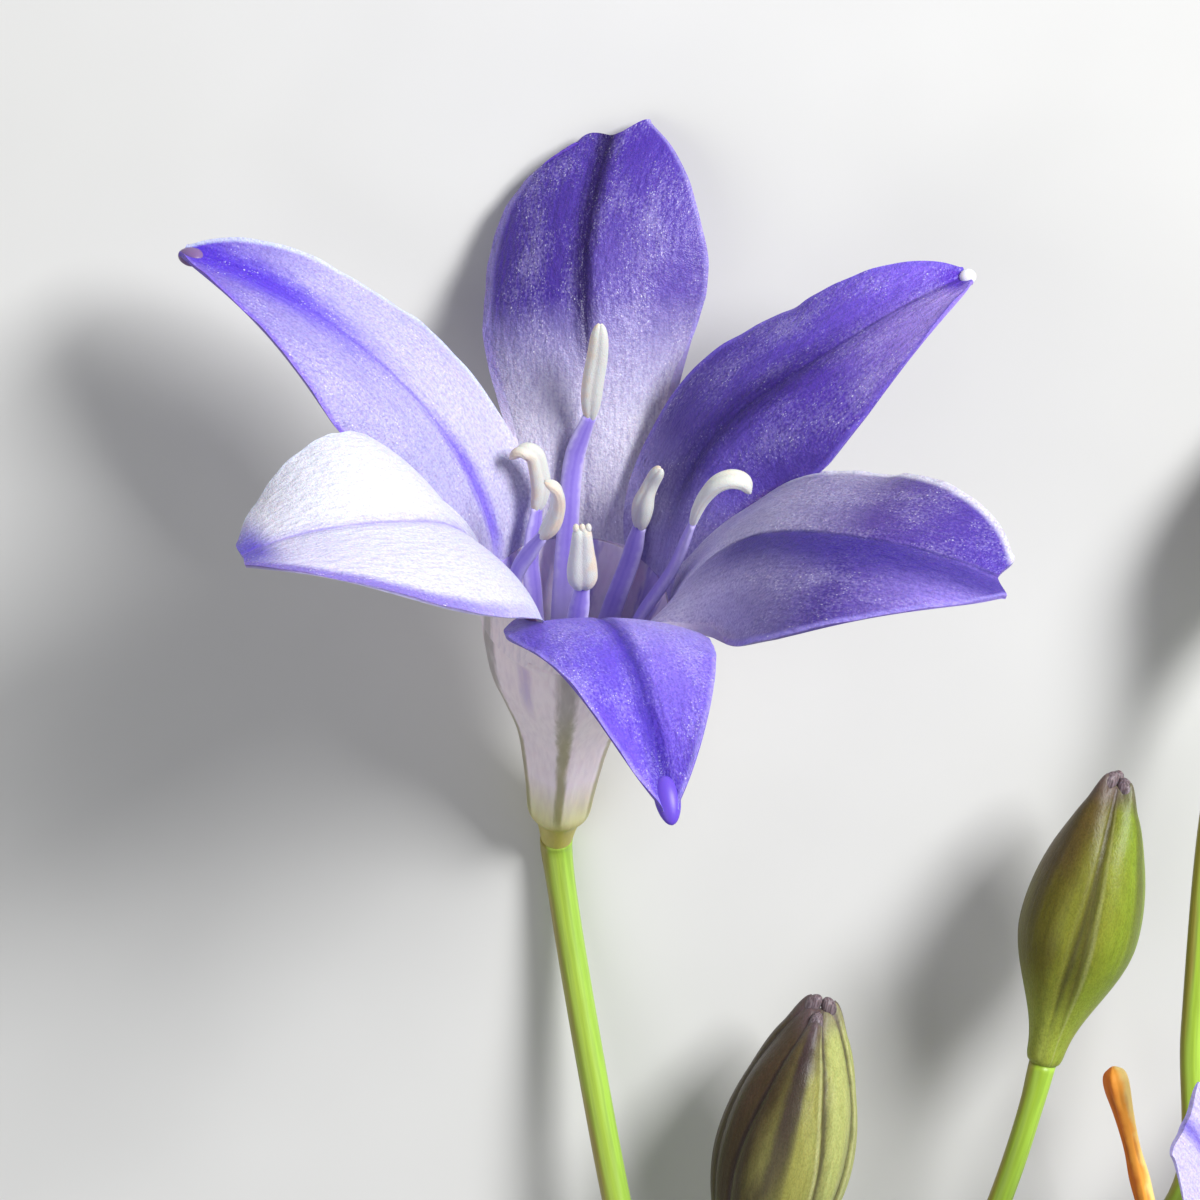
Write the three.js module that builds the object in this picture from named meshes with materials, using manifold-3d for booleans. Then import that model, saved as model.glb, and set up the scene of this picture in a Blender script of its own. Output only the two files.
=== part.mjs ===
import * as THREE from 'three';
import Module from 'manifold-3d';
import { mergeVertices } from 'three/addons/utils/BufferGeometryUtils.js';

// A picked umbel of a blue triteleia, lying on a surface. Units are millimetres and +Z is up.
// The umbel is drawn as a viewer sees it who looks down on it: X to the right, Y up the view and
// Z towards the viewer. LIE turns it about X so that it lies on three low points (the tip of one
// petal of each flower and the cut end of the main stalk), and SEAT puts those on z = 0 with the
// middle of the whole above the origin.
const LIE = -16;
const SEAT = [-16.68, 51.93, 10.3];

const GAP = 0.3;                  // clearance between pieces that touch
const BLADE = 0.6;                // thickness of a petal or bract
const FACETS = 24;                // sides of the flower tubes and buds
// How finely the petals, as [rows, columns], and the stamens of each flower are divided. A stamen
// is divided into rings along the filament, rings along the anther and sides of the anther.
const FINENESS = {
  flower_1: { petal: [16, 10], stamen: [6, 7, 8] },
  flower_2: { petal: [12, 8], stamen: [4, 5, 6] },
};

// Flower tube, a funnel, with its outer radius by height above its base. Its neck below the base
// is the swollen top of the flower's stalk.
const MOUTH_RADIUS = 4.6;
const TUBE_LENGTH = 15.5;
const TUBE_WALL = 0.6;
const TUBE_FLOOR = 1.0;
const TUBE_OUTSIDE = [[-2.4, 0.8], [-1.2, 0.95], [-0.5, 1.15], [0, 1.5], [1.9, 1.7], [4.3, 2.0],
  [7, 2.5], [9.7, 3.45], [12, 4.3], [TUBE_LENGTH, MOUTH_RADIUS + TUBE_WALL]];
const RIB_HEIGHT = 0.09;
const PISTIL = [[1.3, 0], [1.3, 0.5], [2.2, 0.45], [3.0, 0.75], [4.6, 0.95], [6.2, 0.85], [7.2, 0.4],
  [10, 0.3], [12.6, 0.3], [13.2, 0.5], [13.7, 0.3], [13.8, 0]];
const PISTIL_SIDES = 9;

// Where the mouth of each flower is, and how far its axis tips towards the viewer and sideways
const FLOWER_1 = { mouth: [-1.2, -0.2, 0], tip: 47, side: 5 };
const FLOWER_2 = { mouth: [31.4, -43.4, -11.23], tip: 36, side: 70 };

// Petals of the first flower. around: degrees round the axis from the viewer's right. lean: angle
// of the midrib from the axis at four even steps from base to tip. sway: sideways drift of the
// midrib. roll: twist in degrees. halfA and halfB: greatest half width before and after the
// midrib, at the share widest of the length. rise, blunt and point: how the outline swells and
// closes. keel: fold along the midrib in degrees. cup: lift of the margins, as a share of the half
// width. notch, dropA and dropB: how far the middle and the shoulders of the tip fall short, as a
// share of the length. end: half width of the tip itself.
const PETALS_1 = {
  back: {
    around: 90, length: 22.2, lean: [19, 38, 58, 76], sway: [0, 0.3, 1.1, 0.2], roll: [0, 11, -17, -12],
    halfA: 6.0, halfB: 5.5, widest: 0.65, rise: 1.1, blunt: 1.5, point: 2.2,
    keel: [0, -6, 6], cup: [0, -0.22, -0.17], notch: 0.04, dropA: 0, dropB: 0.035, end: 1.85,
  },
  right_upper: {
    around: 30, length: 23.7, lean: [5, 34, 59, 84], sway: [0, 1, -0.2, -0.4], roll: [0, 7, -4, -4],
    halfA: 5.0, halfB: 4.4, widest: 0.56, rise: 1.0, blunt: 1.2, point: 1.7,
    keel: [0, -3, 20], cup: [0, -0.22, 0.14], notch: 0, dropA: 0, dropB: 0, end: 0.4,
  },
  right_lower: {
    around: -30, length: 25, lean: [5, 36, 70, 104], sway: [0, 1.2, 1.2, 2.9], roll: [0, 13, 1, -5],
    halfA: 6.5, halfB: 6.2, widest: 0.63, rise: 1.4, blunt: 1.2, point: 2.0,
    keel: [0, -4, 16], cup: [0, -0.22, -0.02], notch: 0.02, dropA: 0, dropB: 0.01, end: 0.9,
  },
  front: {
    around: -90, length: 23.3, lean: [5, 41, 80, 121], sway: [0, 1.2, 3.2, 5.3], roll: [0, 5, -5, -6],
    halfA: 4.9, halfB: 4.9, widest: 0.38, rise: 1.0, blunt: 1.6, point: 1.3,
    keel: [0, 1, 23], cup: [0, -0.17, 0.11], notch: 0, dropA: 0, dropB: 0, end: 0.4,
  },
  left_lower: {
    around: 210, length: 25, lean: [5, 25, 63, 105], sway: [0, 1, 3.3, 3.3], roll: [0, 9, 1, 34],
    halfA: 6.4, halfB: 6.8, widest: 0.57, rise: 0.95, blunt: 2.0, point: 2.3,
    keel: [0, 13, 4], cup: [0, -0.22, -0.04], notch: 0, dropA: 0, dropB: 0, end: 0.6,
  },
  left_upper: {
    around: 150, length: 24.5, lean: [10, 43, 71, 99], sway: [0, 0.2, 1, 1.9], roll: [0, 1, 7, 0],
    halfA: 4.2, halfB: 4.5, widest: 0.52, rise: 0.9, blunt: 1.2, point: 1.6,
    keel: [0, 2, 19], cup: [0, -0.19, 0.13], notch: 0, dropA: 0, dropB: 0, end: 0.4,
  },
};
// Stretch of a petal over which it leaves its neighbours' margins, as shares of its length
const FOOT = [0.1, 0.24];
// Share of its length over which a petal opens out from the curve of the mouth
const OPENED = 0.3;
// Half width of the rounded crease along a midrib
const CREASE = 0.3;
// Pairs of petals whose margins lap: the second is cut clear of the first
const LAPS = [['front', 'left_lower'], ['front', 'right_lower'], ['left_lower', 'left_upper'],
  ['right_lower', 'right_upper'], ['left_upper', 'back'], ['right_upper', 'back']];

// Broad inner and narrow outer petals of the second flower, in turn round it
const INNER_PETAL = {
  length: 22.5, lean: [14, 40, 64, 86], sway: [0, 0.2, 0.6, 1], roll: [0, 3, 3, 0],
  halfA: 5.5, halfB: 5.5, widest: 0.6, rise: 1.3, blunt: 1.5, point: 2.1,
  keel: [0, 2, 12], cup: [0, -0.15, -0.04], notch: 0.03, dropA: 0, dropB: 0.02, end: 1.2,
};
const OUTER_PETAL = {
  length: 23, lean: [10, 38, 64, 90], sway: [0, 0.2, 0.5, 1], roll: [0, 2, 2, 0],
  halfA: 4.1, halfB: 4.1, widest: 0.52, rise: 1.2, blunt: 1.3, point: 1.6,
  keel: [0, 2, 18], cup: [0, -0.15, 0.1], notch: 0, dropA: 0, dropB: 0, end: 0.4,
};

// Stamens, by points [degrees round the axis, distance from it, height above the mouth]
const STAMENS_1 = {
  back: {
    filament: [[104, 2.3, -5.6], [102, 3.1, -1.2], [98, 4.7, 2.4], [92, 6.3, 6.2]],
    anther: [[91, 6.45, 6.45], [91, 6.9, 8.6], [90, 7.3, 10.4], [90, 7.6, 12.2]], half: 0.56,
  },
  left_upper: {
    filament: [[140, 2.3, -5.6], [137, 3.1, -1.2], [132, 3.7, 1.4], [127, 4.3, 3.6]],
    anther: [[129, 5, 4.9], [123, 4.9, 5.7], [116, 4.5, 5], [113, 4.2, 3.9], [116, 3.9, 2.6],
      [121, 3.7, 2]], half: 0.52,
  },
  left_lower: {
    filament: [[206, 2.3, -5.6], [206, 2.6, -1.5], [203, 2.7, 3], [201, 2.65, 6.8]],
    anther: [[200, 2.3, 9.2], [205, 1.6, 8.9], [205, 1.3, 7.8], [205, 1.5, 6.4], [205, 1.9, 5.3]],
    half: 0.5,
  },
  front: {
    filament: [[-92, 2.3, -5.6], [-90, 2.9, -1.5], [-88, 3.1, 1.5], [-86, 2.95, 3.65]],
    anther: [[-84, 2.75, 4], [-86, 2.6, 5.2], [-88, 2.4, 6.6], [-90, 2.2, 7.9]], half: 0.72,
  },
  right_upper: {
    filament: [[56, 2.3, -5.6], [52, 3.1, -1.2], [51, 3.6, 1.4], [50, 4, 2.9]],
    anther: [[58, 4.2, 3], [58, 4.4, 4], [57, 4.7, 5], [54, 5, 6.2]], half: 0.52,
  },
  right_lower: {
    filament: [[0, 2.3, -5.6], [-3, 3.1, -1.2], [-5, 4.3, 3], [-5, 5.5, 6.2], [-5, 6.3, 8.1]],
    anther: [[-5, 8.4, 9.4], [-5, 7.8, 10.3], [-5, 7.1, 10.5], [-5, 6.4, 10.1], [-5, 5.7, 9.2],
      [-5, 5.2, 7.9]], half: 0.5,
  },
};
// A stamen of the second flower, which has six alike
const STAMEN_2 = {
  filament: [[0, 2.3, -5.6], [0, 3.1, -1.2], [0, 4.1, 2.2], [0, 4.8, 5]],
  anther: [[0, 4.9, 5.3], [0, 5.1, 6.6], [0, 5.5, 8], [0, 5.9, 9.3]], half: 0.52,
};
const FILAMENT_HALF_WIDTH = 0.46;
const FILAMENT_HALF_THICK = 0.28;
const FILAMENT_TAPER = 0.25;      // share of its width that a filament loses towards its top
const FILAMENT_SIDES = 6;
const ANTHER_FLATNESS = 0.72;

// Buds: both ends of the axis, the greatest radius, the share of the length where it is, and how
// far the middle of one petal is turned away from the viewer, in degrees
const BUDS = {
  front: { base: [7.2, -38.2, -14], tip: [11.5, -20.6, -10.5], radius: 3.6, fullest: 0.55, turn: -5 },
  right: { base: [22.8, -23.9, -9.8], tip: [26.5, -8.9, -6.5], radius: 3, fullest: 0.5, turn: 33 },
  far: { base: [32.6, -3.5, -5.5], tip: [35.9, 10.5, -4], radius: 2.7, fullest: 0.52, turn: 12 },
};
const BUD_NECK = 0.75;            // radius at the base
const BUD_END = 0.6;              // radius at the top
const BUD_SWELL = 1.6;            // how late a bud swells below its widest place
const BUD_CLOSE = 0.95;           // how soon it closes above it
const BUD_GROOVE = 0.1;           // depth of the grooves, as a share of the radius
const BUD_POINTS = 0.22;          // how far the three outer petals stand out near the top
const BUD_TIPS = 0.6;             // height of the three tips
const BUD_ROWS = 12;
// The withered bud, with its radius by height
const WITHERED = { base: [28.9, -33.3, -13.6], tip: [26.6, -24.3, -11.6] };
const WITHERED_OUTSIDE = [[0, 0], [0, 0.42], [2.4, 0.5], [6.4, 0.46], [8.4, 0.66], [9.3, 0.5], [9.6, 0]];
const WITHERED_SIDES = 8;

// Main stalk: its swollen top, which all flower stalks stand on, and its cut end
const UMBEL = [7, -65, -21];
const SCAPE_END = [2, -119, -42.65];
const SCAPE_RADIUS = 2.1;
const SCAPE_BOW = 1.2;
const SCAPE_SIDES = 16;
const SCAPE_STRETCHES = 8;
const KNOB_RADIUS = 3;
const KNOB_OUTSIDE = [[2.5, 0], [2.5, 1.5], [1.8, 2.5], [0.7, KNOB_RADIUS], [-0.7, KNOB_RADIUS],
  [-2.4, 2.4], [-4.6, SCAPE_RADIUS]];

// Stalks of the flowers and buds. spot: direction from the middle of the swollen top to where the
// stalk stands on it. via: points on its way to what it carries. end: length of the straight
// stretch below that.
const STALK_STEPS = 20;
const STALK_QUARTERS = 4;
const STALK_RISE = 1.5;           // straight stretch where a stalk leaves the swollen top
const STALKS = {
  flower_1: {
    spot: [-0.35, 0.85, 0.35], radius: 0.75, end: 0.2,
    via: [[3.5, -45, -16.2], [0.2, -28, -14.8], [-1.7, -17, -14]],
  },
  flower_2: {
    spot: [0.62, 0.75, -0.5], radius: 0.75, end: 2,
    via: [[11, -58, -23.6], [12.6, -53, -24.4]],
  },
  bud_front: { spot: [-0.05, 0.6, 0.9], radius: 0.62, end: 2, via: [[6.6, -52, -14]] },
  bud_right: {
    spot: [0.4, 0.95, 0.1], radius: 0.62, end: 2,
    via: [[14, -47, -15], [20.2, -31, -11.6]],
  },
  bud_far: {
    spot: [0.5, 0.6, 0.95], radius: 0.62, end: 2,
    via: [[14.4, -54, -12], [18, -45, -9.6], [24, -37, -8.4], [29.6, -30.2, -7.8],
      [30.1, -22, -7.2], [31.1, -11.5, -6.2]],
  },
  withered_bud: {
    spot: [0.9, 0.6, 0.1], radius: 0.42, end: 0.6,
    via: [[14.5, -57.5, -19.5], [19.5, -52, -20.6], [24.6, -46, -20.8], [27.6, -41.4, -18.4],
      [29.1, -37.2, -15.6]],
  },
};

// Small papery bracts round the top of the main stalk: where round it they stand, and their length
const BRACTS = [{ around: 190, length: 9.5 }, { around: 325, length: 8.5 },
  { around: 75, length: 6.5 }];
const BRACT_HALF_WIDTH = 1.9;
const BRACT_TIP = 0.25;           // half width at the tip
const BRACT_FOOT = -3;            // height of its foot from the middle of the swollen top
const BRACT_SPREAD = [0.05, 0.22];
const BRACT_GRID = [7, 4];

const COLOURS = {
  tube: '#c4b6cc', filament: '#8a7fd6', anther: '#e6e3cd', pistil: '#b9b2e0', stalk: '#9db34e',
  scape: '#7f9a4a', bract: '#b9b79c', withered_stalk: '#7c7a34', withered_bud: '#a8651f',
  bud: { front: '#7d7c4a', right: '#8f9a4c', far: '#7d7c4a' },
  petal: {
    back: '#6f63bd', right_upper: '#5a4bb0', right_lower: '#7c70c8',
    front: '#6f57d6', left_lower: '#dfe0fb', left_upper: '#b3a9ee',
  },
};

const rad = THREE.MathUtils.degToRad;
const vec = (a) => new THREE.Vector3(...a);
const clamp = THREE.MathUtils.clamp;
const smooth = (x) => THREE.MathUtils.smoothstep(x, 0, 1);

// Value of an evenly spaced table at v = 0..1, on a smooth curve through its entries
function along(entries, v) {
  const last = entries.length - 1;
  const x = clamp(v, 0, 1) * last;
  const i = Math.min(Math.floor(x), last - 1);
  const f = x - i;
  const p1 = entries[i];
  const p2 = entries[i + 1];
  const p0 = i > 0 ? entries[i - 1] : 2 * p1 - p2;
  const p3 = i + 2 <= last ? entries[i + 2] : 2 * p2 - p1;
  return 0.5 * (2 * p1 + (p2 - p0) * f + (2 * p0 - 5 * p1 + 4 * p2 - p3) * f * f
    + (3 * p1 - p0 - 3 * p2 + p3) * f * f * f);
}

// Outer radius of the flower tube at a height above its base
function tubeRadius(height) {
  const k = TUBE_OUTSIDE.findIndex(([h]) => h >= height);
  const [h0, r0] = TUBE_OUTSIDE[Math.max(0, k - 1)];
  const [h1, r1] = TUBE_OUTSIDE[k];
  return h1 === h0 ? r1 : r0 + (r1 - r0) * (height - h0) / (h1 - h0);
}

// Turns all faces outwards where the enclosed volume comes out negative
function facingOut(geometry) {
  const p = geometry.attributes.position;
  const index = geometry.index.array;
  const corner = (k) => new THREE.Vector3().fromBufferAttribute(p, index[k]);
  let volume = 0;
  for (let k = 0; k < index.length; k += 3) {
    volume += corner(k).dot(corner(k + 1).cross(corner(k + 2)));
  }
  if (volume < 0) index.reverse();
  return geometry;
}

function indexed(points, index) {
  const geometry = new THREE.BufferGeometry();
  const numbers = points.flatMap((p) => p.toArray());
  geometry.setAttribute('position', new THREE.Float32BufferAttribute(numbers, 3));
  geometry.setIndex(index);
  return facingOut(geometry);
}

// Closed solid from rings of points, with flat ends
function loft(rings) {
  const n = rings[0].length;
  const points = rings.flat();
  const index = [];
  for (let j = 0; j < rings.length - 1; j++) {
    for (let i = 0; i < n; i++) {
      const a = j * n + i;
      const b = j * n + (i + 1) % n;
      index.push(a, b, b + n, a, b + n, a + n);
    }
  }
  for (const [ring, turned] of [[0, true], [rings.length - 1, false]]) {
    const middle = points.length;
    const sum = rings[ring].reduce((total, p) => total.add(p), new THREE.Vector3());
    points.push(sum.multiplyScalar(1 / n));
    for (let i = 0; i < n; i++) {
      const a = ring * n + i;
      const b = ring * n + (i + 1) % n;
      index.push(middle, turned ? b : a, turned ? a : b);
    }
  }
  return indexed(points, index);
}

// Closed blade from a grid of points and the grid behind it, split into like triangles on both
function blade(front, behind) {
  const rows = front.length;
  const columns = front[0].length;
  const f = (j, i) => j * columns + i;
  const b = (j, i) => rows * columns + f(j, i);
  const index = [];
  const wall = (a, c) => {
    const behindA = a + rows * columns;
    index.push(a, behindA, c, c, behindA, c + rows * columns);
  };
  for (let j = 0; j < rows - 1; j++) {
    for (let i = 0; i < columns - 1; i++) {
      index.push(f(j, i), f(j, i + 1), f(j + 1, i + 1), f(j, i), f(j + 1, i + 1), f(j + 1, i));
      index.push(b(j, i), b(j + 1, i + 1), b(j, i + 1), b(j, i), b(j + 1, i), b(j + 1, i + 1));
    }
    wall(f(j + 1, 0), f(j, 0));
    wall(f(j, columns - 1), f(j + 1, columns - 1));
  }
  for (let i = 0; i < columns - 1; i++) {
    wall(f(0, i), f(0, i + 1));
    wall(f(rows - 1, i + 1), f(rows - 1, i));
  }
  return indexed([...front.flat(), ...behind.flat()], index);
}

// Body turned about +Z from [height, radius] pairs; shape changes a radius by height and angle
function turned(outline, sides, shape = (r) => r) {
  const geometry = new THREE.LatheGeometry(outline.map(([h, r]) => new THREE.Vector2(r, h)), sides);
  geometry.rotateX(Math.PI / 2);
  const p = geometry.attributes.position;
  for (let k = 0; k < p.count; k++) {
    const r = Math.hypot(p.getX(k), p.getY(k));
    const q = Math.atan2(p.getY(k), p.getX(k));
    if (r < 1e-6) continue;
    const grown = shape(r, p.getZ(k), q);
    p.setXY(k, grown * Math.cos(q), grown * Math.sin(q));
  }
  return facingOut(geometry);
}

// One petal in its flower's own frame, with the mouth's middle at the origin and the axis along
// +Z. clear > 0 gives the same petal with that much space round it, for cutting a neighbour.
function petal(s, rows, columns, clear = 0) {
  const out = new THREE.Vector3(Math.cos(rad(s.around)), Math.sin(rad(s.around)), 0);
  const across = new THREE.Vector3(-out.y, out.x, 0);
  const axis = new THREE.Vector3(0, 0, 1);
  const STEPS = 200;
  const distance = [MOUTH_RADIUS];
  const height = [GAP];
  for (let k = 1; k <= STEPS; k++) {
    const lean = rad(along(s.lean, (k - 0.5) / STEPS));
    distance.push(distance[k - 1] + s.length / STEPS * Math.sin(lean));
    height.push(height[k - 1] + s.length / STEPS * Math.cos(lean));
  }
  const at = (list, v) => {
    const k = Math.min(Math.floor(v * STEPS), STEPS - 1);
    return list[k] + (list[k + 1] - list[k]) * (v * STEPS - k);
  };
  const baseHalf = MOUTH_RADIUS * Math.PI / 6 - GAP / 2;
  const halfWidth = (v, most, r) => {
    const past = clamp((v - s.widest) / (1 - s.widest), 0, 1);
    const swell = v < s.widest
      ? baseHalf + (most - baseHalf) * Math.sin(v / s.widest * Math.PI / 2) ** s.rise
      : most * (1 - past ** s.blunt) ** (1 / s.point);
    const sector = r * Math.PI / 6 - GAP / 2;
    const foot = sector * (1 - smooth((v - FOOT[0]) / (FOOT[1] - FOOT[0])));
    return Math.max((swell ** 4 + s.end ** 4) ** 0.25, foot) + clear;
  };
  const point = (v, u) => {
    const shoulder = u < 0 ? s.dropA : s.dropB;
    const ve = v * (1 - v ** 4 * (s.notch * (1 - u * u) ** 2 + shoulder * u * u));
    const r = at(distance, ve);
    const w = halfWidth(v, u < 0 ? s.halfA : s.halfB, r);
    const lean = rad(along(s.lean, ve));
    const onward = out.clone().multiplyScalar(Math.sin(lean)).addScaledVector(axis, Math.cos(lean));
    const inward = out.clone().multiplyScalar(-Math.cos(lean)).addScaledVector(axis, Math.sin(lean));
    const step = 0.001;
    const [v0, v1] = [Math.max(0, ve - step), Math.min(1, ve + step)];
    const drift = (along(s.sway, v1) - along(s.sway, v0)) / (v1 - v0) / s.length;
    const side = across.clone().addScaledVector(onward, -drift).normalize();
    const roll = rad(along(s.roll, ve));
    const level = side.clone().multiplyScalar(Math.cos(roll)).addScaledVector(inward, Math.sin(roll));
    const up = inward.clone().multiplyScalar(Math.cos(roll)).addScaledVector(side, -Math.sin(roll));
    const q = w * u;
    const keel = rad(along(s.keel, v));
    const open = smooth(v / OPENED);
    const folded = (Math.hypot(q, CREASE) - CREASE) * Math.sin(keel);
    const cupped = along(s.cup, v) * w * Math.abs(u) ** 2.5;
    const round = q / MOUTH_RADIUS;
    const sideways = open * q * Math.cos(keel) + (1 - open) * MOUTH_RADIUS * Math.sin(round);
    const raised = open * (folded + cupped) + (1 - open) * MOUTH_RADIUS * (1 - Math.cos(round));
    const midrib = out.clone().multiplyScalar(r).addScaledVector(axis, at(height, ve))
      .addScaledVector(across, along(s.sway, ve));
    return midrib.addScaledVector(level, sideways).addScaledVector(up, raised);
  };
  const front = [];
  const behind = [];
  for (let j = 0; j <= rows; j++) {
    const t = j / rows;
    const v = 0.75 * t + 0.25 * (1 - (1 - t) ** 2.2);
    front.push([]);
    behind.push([]);
    for (let i = 0; i <= columns; i++) {
      const u = -1 + 2 * i / columns;
      const e = 0.004;
      const du = point(v, Math.min(1, u + e)).sub(point(v, Math.max(-1, u - e)));
      const dv = point(Math.min(1, v + e), u).sub(point(Math.max(0, v - e), u));
      const inside = du.cross(dv).normalize();
      if (inside.dot(axis.clone().sub(out)) < 0) inside.negate();
      if (j === 0) {
        const q = baseHalf * u / MOUTH_RADIUS;
        inside.copy(out).multiplyScalar(-Math.cos(q)).addScaledVector(across, -Math.sin(q));
      }
      const p = point(v, u);
      front[j].push(p.clone().addScaledVector(inside, clear));
      behind[j].push(p.clone().addScaledVector(inside, -BLADE - clear));
    }
  }
  return blade(front, behind);
}

// Rings of a flattened section along a curve; half(t) gives its two half sizes from end to end
function sweep(points, steps, sides, half, wideWay) {
  const curve = new THREE.CatmullRomCurve3(points, false, 'centripetal');
  const rings = [];
  for (let j = 0; j <= steps; j++) {
    const tangent = curve.getTangentAt(j / steps);
    const wide = wideWay.clone().addScaledVector(tangent, -wideWay.dot(tangent)).normalize();
    const thick = tangent.clone().cross(wide);
    const [a, b] = half(j / steps);
    rings.push([]);
    for (let i = 0; i < sides; i++) {
      const q = 2 * Math.PI * i / sides;
      const middle = curve.getPointAt(j / steps);
      rings[j].push(middle.addScaledVector(wide, a * Math.cos(q)).addScaledVector(thick, b * Math.sin(q)));
    }
  }
  return loft(rings);
}

// A stamen's strap-like filament and its anther, in the flower's own frame. Their points are
// turned round the axis, and their wide way lies along the mouth's circle at the first of them.
function stamenSweep(points, turn, steps, sides, half) {
  const placed = points.map(([around, r, h]) => {
    const q = rad(around + turn);
    return new THREE.Vector3(r * Math.cos(q), r * Math.sin(q), h);
  });
  const q = rad(points[0][0] + turn);
  return sweep(placed, steps, sides, half, new THREE.Vector3(-Math.sin(q), Math.cos(q), 0));
}
function filament(s, turn, steps) {
  const half = (t) => [FILAMENT_HALF_WIDTH * (1 - FILAMENT_TAPER * t), FILAMENT_HALF_THICK];
  return stamenSweep(s.filament, turn, steps, FILAMENT_SIDES, half);
}
function anther(s, turn, steps, sides) {
  const half = (t) => {
    const rounded = Math.sqrt(Math.max(0.05, 1 - Math.abs(2 * t - 1) ** 3.2));
    return [s.half * rounded, s.half * ANTHER_FLATNESS * rounded];
  };
  return stamenSweep(s.anther, turn, steps, sides, half);
}

// Funnel of a flower from its base at -TUBE_LENGTH up to the mouth at 0, ribbed under each petal
function tube() {
  const heights = TUBE_OUTSIDE.map(([h]) => h).filter((h) => h > TUBE_FLOOR).reverse();
  const inside = [...heights, TUBE_FLOOR].map((h) => [h, tubeRadius(h) - TUBE_WALL]);
  const outline = [[TUBE_OUTSIDE[0][0], 0], ...TUBE_OUTSIDE, ...inside, [TUBE_FLOOR, 0]];
  const ribbed = (r, h, q) => {
    const outside = r > tubeRadius(clamp(h, TUBE_OUTSIDE[0][0], TUBE_LENGTH)) - TUBE_WALL / 2;
    const plain = h <= 0 || h >= TUBE_LENGTH || !outside;
    return plain ? r : r - RIB_HEIGHT * Math.cos(6 * q);
  };
  return turned(outline, FACETS, ribbed).translate(0, 0, -TUBE_LENGTH);
}

// Six closed petals pressed together, with a groove between neighbours and three small tips
function bud(s) {
  const length = vec(s.tip).distanceTo(vec(s.base)) - BUD_TIPS;
  const radiusAt = (v) => {
    if (v < s.fullest) {
      return BUD_NECK + (s.radius - BUD_NECK) * Math.sin(v / s.fullest * Math.PI / 2) ** BUD_SWELL;
    }
    const past = (v - s.fullest) / (1 - s.fullest);
    return BUD_END + (s.radius - BUD_END) * Math.max(0, Math.cos(past * Math.PI / 2)) ** BUD_CLOSE;
  };
  const outline = [[0, 0]];
  for (let j = 0; j <= BUD_ROWS; j++) outline.push([j / BUD_ROWS * length, radiusAt(j / BUD_ROWS)]);
  outline.push([length, 0]);
  const geometry = turned(outline, FACETS, (r, h, q) => {
    const v = h / length;
    const groove = BUD_GROOVE * smooth(v / 0.3) * (1 - Math.abs(Math.cos(3 * q)));
    return r * (1 - groove + BUD_POINTS * smooth((v - 0.75) / 0.25) * Math.cos(3 * q));
  });
  const p = geometry.attributes.position;
  for (let k = 0; k < p.count; k++) {
    const q = Math.atan2(p.getY(k), p.getX(k));
    const atRim = Math.hypot(p.getX(k), p.getY(k)) > 0.1 && p.getZ(k) > 0.95 * length;
    if (atRim) p.setZ(k, length + BUD_TIPS * Math.max(0, Math.cos(3 * q)));
  }
  geometry.rotateZ(rad(s.turn));
  return geometry;
}

// Main stalk: a swollen top with its middle at the origin and the stem down to the cut end,
// slightly bowed
function scape() {
  const length = vec(UMBEL).distanceTo(vec(SCAPE_END));
  const outline = [...KNOB_OUTSIDE];
  const [start] = KNOB_OUTSIDE[KNOB_OUTSIDE.length - 1];
  for (let j = 1; j <= SCAPE_STRETCHES; j++) {
    outline.push([start - (length + start) * j / SCAPE_STRETCHES, SCAPE_RADIUS]);
  }
  outline.push([-length, 0]);
  const geometry = turned(outline, SCAPE_SIDES);
  const p = geometry.attributes.position;
  for (let k = 0; k < p.count; k++) {
    const share = clamp(-p.getZ(k) / length, 0, 1);
    p.setX(k, p.getX(k) + SCAPE_BOW * Math.sin(Math.PI * share));
  }
  return geometry;
}

// Papery bract: a short pointed blade that stands up round the swollen top
function bract(s) {
  const [rows, columns] = BRACT_GRID;
  const front = [];
  const behind = [];
  for (let j = 0; j <= rows; j++) {
    const v = j / rows;
    const half = BRACT_TIP + BRACT_HALF_WIDTH * Math.cos(v * Math.PI / 2) ** 0.8;
    const r = KNOB_RADIUS + GAP + s.length * (BRACT_SPREAD[0] * v + BRACT_SPREAD[1] * v * v);
    const z = BRACT_FOOT + s.length * v;
    front.push([]);
    behind.push([]);
    for (let i = 0; i <= columns; i++) {
      const u = -1 + 2 * i / columns;
      const q = rad(s.around) + half * u / r;
      behind[j].push(new THREE.Vector3((r + BLADE) * Math.cos(q), (r + BLADE) * Math.sin(q), z));
      front[j].push(new THREE.Vector3(r * Math.cos(q), r * Math.sin(q), z));
    }
  }
  return blade(front, behind);
}

const wasm = await Module();
wasm.setup();

function toSolid(geometry) {
  const bare = geometry.clone();
  bare.deleteAttribute('normal');
  bare.deleteAttribute('uv');
  const merged = mergeVertices(bare, 1e-5);
  return new wasm.Manifold(new wasm.Mesh({
    numProp: 3,
    vertProperties: new Float32Array(merged.attributes.position.array),
    triVerts: new Uint32Array(merged.index.array),
  }));
}
function toGeometry(solid) {
  const mesh = solid.getMesh();
  const geometry = new THREE.BufferGeometry();
  geometry.setAttribute('position', new THREE.Float32BufferAttribute(mesh.vertProperties, 3));
  geometry.setIndex(Array.from(mesh.triVerts));
  return geometry;
}
// Takes the second petal of each lapping pair back from the first, and drops loose crumbs
function cutLaps(specs, [rows, columns]) {
  const solids = {};
  for (const name of Object.keys(specs)) solids[name] = toSolid(petal(specs[name], rows, columns));
  for (const [over, under] of LAPS) {
    const cutter = toSolid(petal(specs[over], rows, columns, GAP));
    const left = solids[under].subtract(cutter).decompose();
    solids[under] = left.reduce((a, b) => (a.volume() > b.volume() ? a : b));
  }
  return solids;
}

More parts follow.
